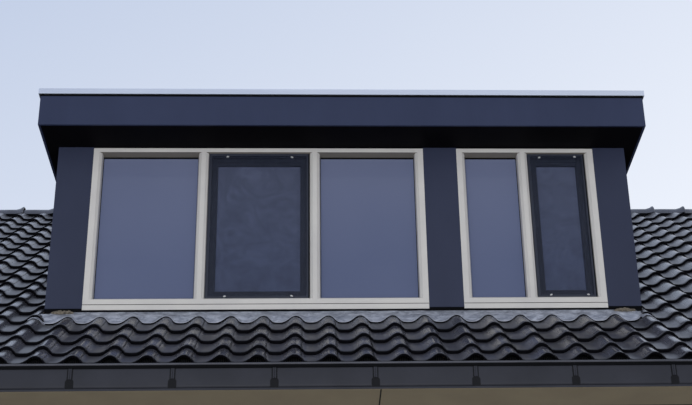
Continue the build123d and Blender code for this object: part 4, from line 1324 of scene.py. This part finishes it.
def overcastSky():
    # seen and mirrored it is a pale cool sky, for soft light it is plain white
    world = bpy.data.worlds.new("overcastSky")
    bpy.context.scene.world = world
    world.use_nodes = True
    tree = world.node_tree
    tree.nodes.clear()
    towards = addNode(tree, "ShaderNodeTexCoord").outputs["Generated"]
    parts = addNode(tree, "ShaderNodeSeparateXYZ", {}, {0: towards}).outputs
    slope = addNode(
        tree, "ShaderNodeMath", {"operation": "MULTIPLY_ADD", 1: sky["fadeUp"], 2: sky["fadeFrom"]},
        {0: parts[2]},
    ).outputs[0]
    fade = addNode(
        tree, "ShaderNodeMath", {"operation": "MULTIPLY_ADD", "use_clamp": True, 1: sky["fadeRight"]},
        {0: parts[0], 2: slope},
    ).outputs[0]
    seen = addNode(
        tree, "ShaderNodeMix", {"data_type": "RGBA", 6: toLinear(sky["dark"]), 7: toLinear(sky["light"])},
        {0: fade},
    ).outputs[2]
    above = addNode(
        tree, "ShaderNodeMapRange", {1: 0.0, 2: 0.7, 3: sky["horizon"], 4: sky["top"]}, {0: parts[2]},
    ).outputs[0]
    level = addNode(tree, "ShaderNodeMath", {"operation": "GREATER_THAN", 1: 0.0}, {0: parts[2]}).outputs[0]
    backHalf = addNode(tree, "ShaderNodeMath", {"operation": "MAXIMUM", 1: 0.0}, {0: parts[1]}).outputs[0]
    behind = addNode(
        tree, "ShaderNodeMath", {"operation": "MULTIPLY_ADD", 1: sky["behind"]}, {0: backHalf, 2: above},
    ).outputs[0]
    soft = addNode(
        tree, "ShaderNodeMix", {"data_type": "FLOAT", 2: sky["under"]}, {0: level, 3: behind},
    ).outputs[0]
    path = addNode(tree, "ShaderNodeLightPath").outputs
    clear = addNode(
        tree, "ShaderNodeMath", {"operation": "ADD"}, {0: path["Is Camera Ray"], 1: path["Is Glossy Ray"]},
    ).outputs[0]
    clear = addNode(
        tree, "ShaderNodeMath", {"operation": "ADD", "use_clamp": True},
        {0: clear, 1: path["Is Transmission Ray"]},
    ).outputs[0]
    plain = addNode(tree, "ShaderNodeBackground", {0: (1, 1, 1, 1)}, {1: soft}).outputs[0]
    view = addNode(tree, "ShaderNodeBackground", {1: 1.0}, {0: seen}).outputs[0]
    mixed = addNode(tree, "ShaderNodeMixShader", {}, {0: clear, 1: plain, 2: view}).outputs[0]
    addNode(tree, "ShaderNodeOutputWorld", {}, {0: mixed})


overcastSky()


def softLamp(name, place, target, size, power):
    light = bpy.data.lights.new(name, "AREA")
    light.energy = power
    light.size = size
    lamp = bpy.data.objects.new(name, light)
    lamp.location = place
    lamp.rotation_euler = (Vector(target) - Vector(place)).to_track_quat("-Z", "Y").to_euler()
    bpy.context.scene.collection.objects.link(lamp)


softLamp("softKey", stage["lampPlace"], stage["lampTarget"], stage["lampSize"], stage["lampPower"])

view = {
    "place": (-0.2801, -9.3285, -3.4427), "yaw": 3.905, "pitch": 27.810, "roll": -1.865,
    "lens": 77.098, "sensor": 36, "shift": -0.0764, "far": 200,
}


def setCamera():
    yaw, pitch, roll = (math.radians(view[key]) for key in ("yaw", "pitch", "roll"))
    ahead = Vector((math.sin(yaw) * math.cos(pitch), math.cos(yaw) * math.cos(pitch), math.sin(pitch)))
    right = Vector((math.cos(yaw), -math.sin(yaw), 0.0))
    up = right.cross(ahead)
    turned = right * math.cos(roll) + up * math.sin(roll)
    raised = up * math.cos(roll) - right * math.sin(roll)
    data = bpy.data.cameras.new("photoCamera")
    data.lens = view["lens"]
    data.sensor_width = view["sensor"]
    data.shift_x = view["shift"]
    data.clip_end = view["far"]
    camera = bpy.data.objects.new("photoCamera", data)
    camera.matrix_world = Matrix((
        (turned.x, raised.x, -ahead.x, view["place"][0]),
        (turned.y, raised.y, -ahead.y, view["place"][1]),
        (turned.z, raised.z, -ahead.z, view["place"][2]),
        (0, 0, 0, 1),
    ))
    bpy.context.scene.collection.objects.link(camera)
    bpy.context.scene.camera = camera


setCamera()
bpy.context.scene.view_settings.view_transform = "Standard"
print("stage set")
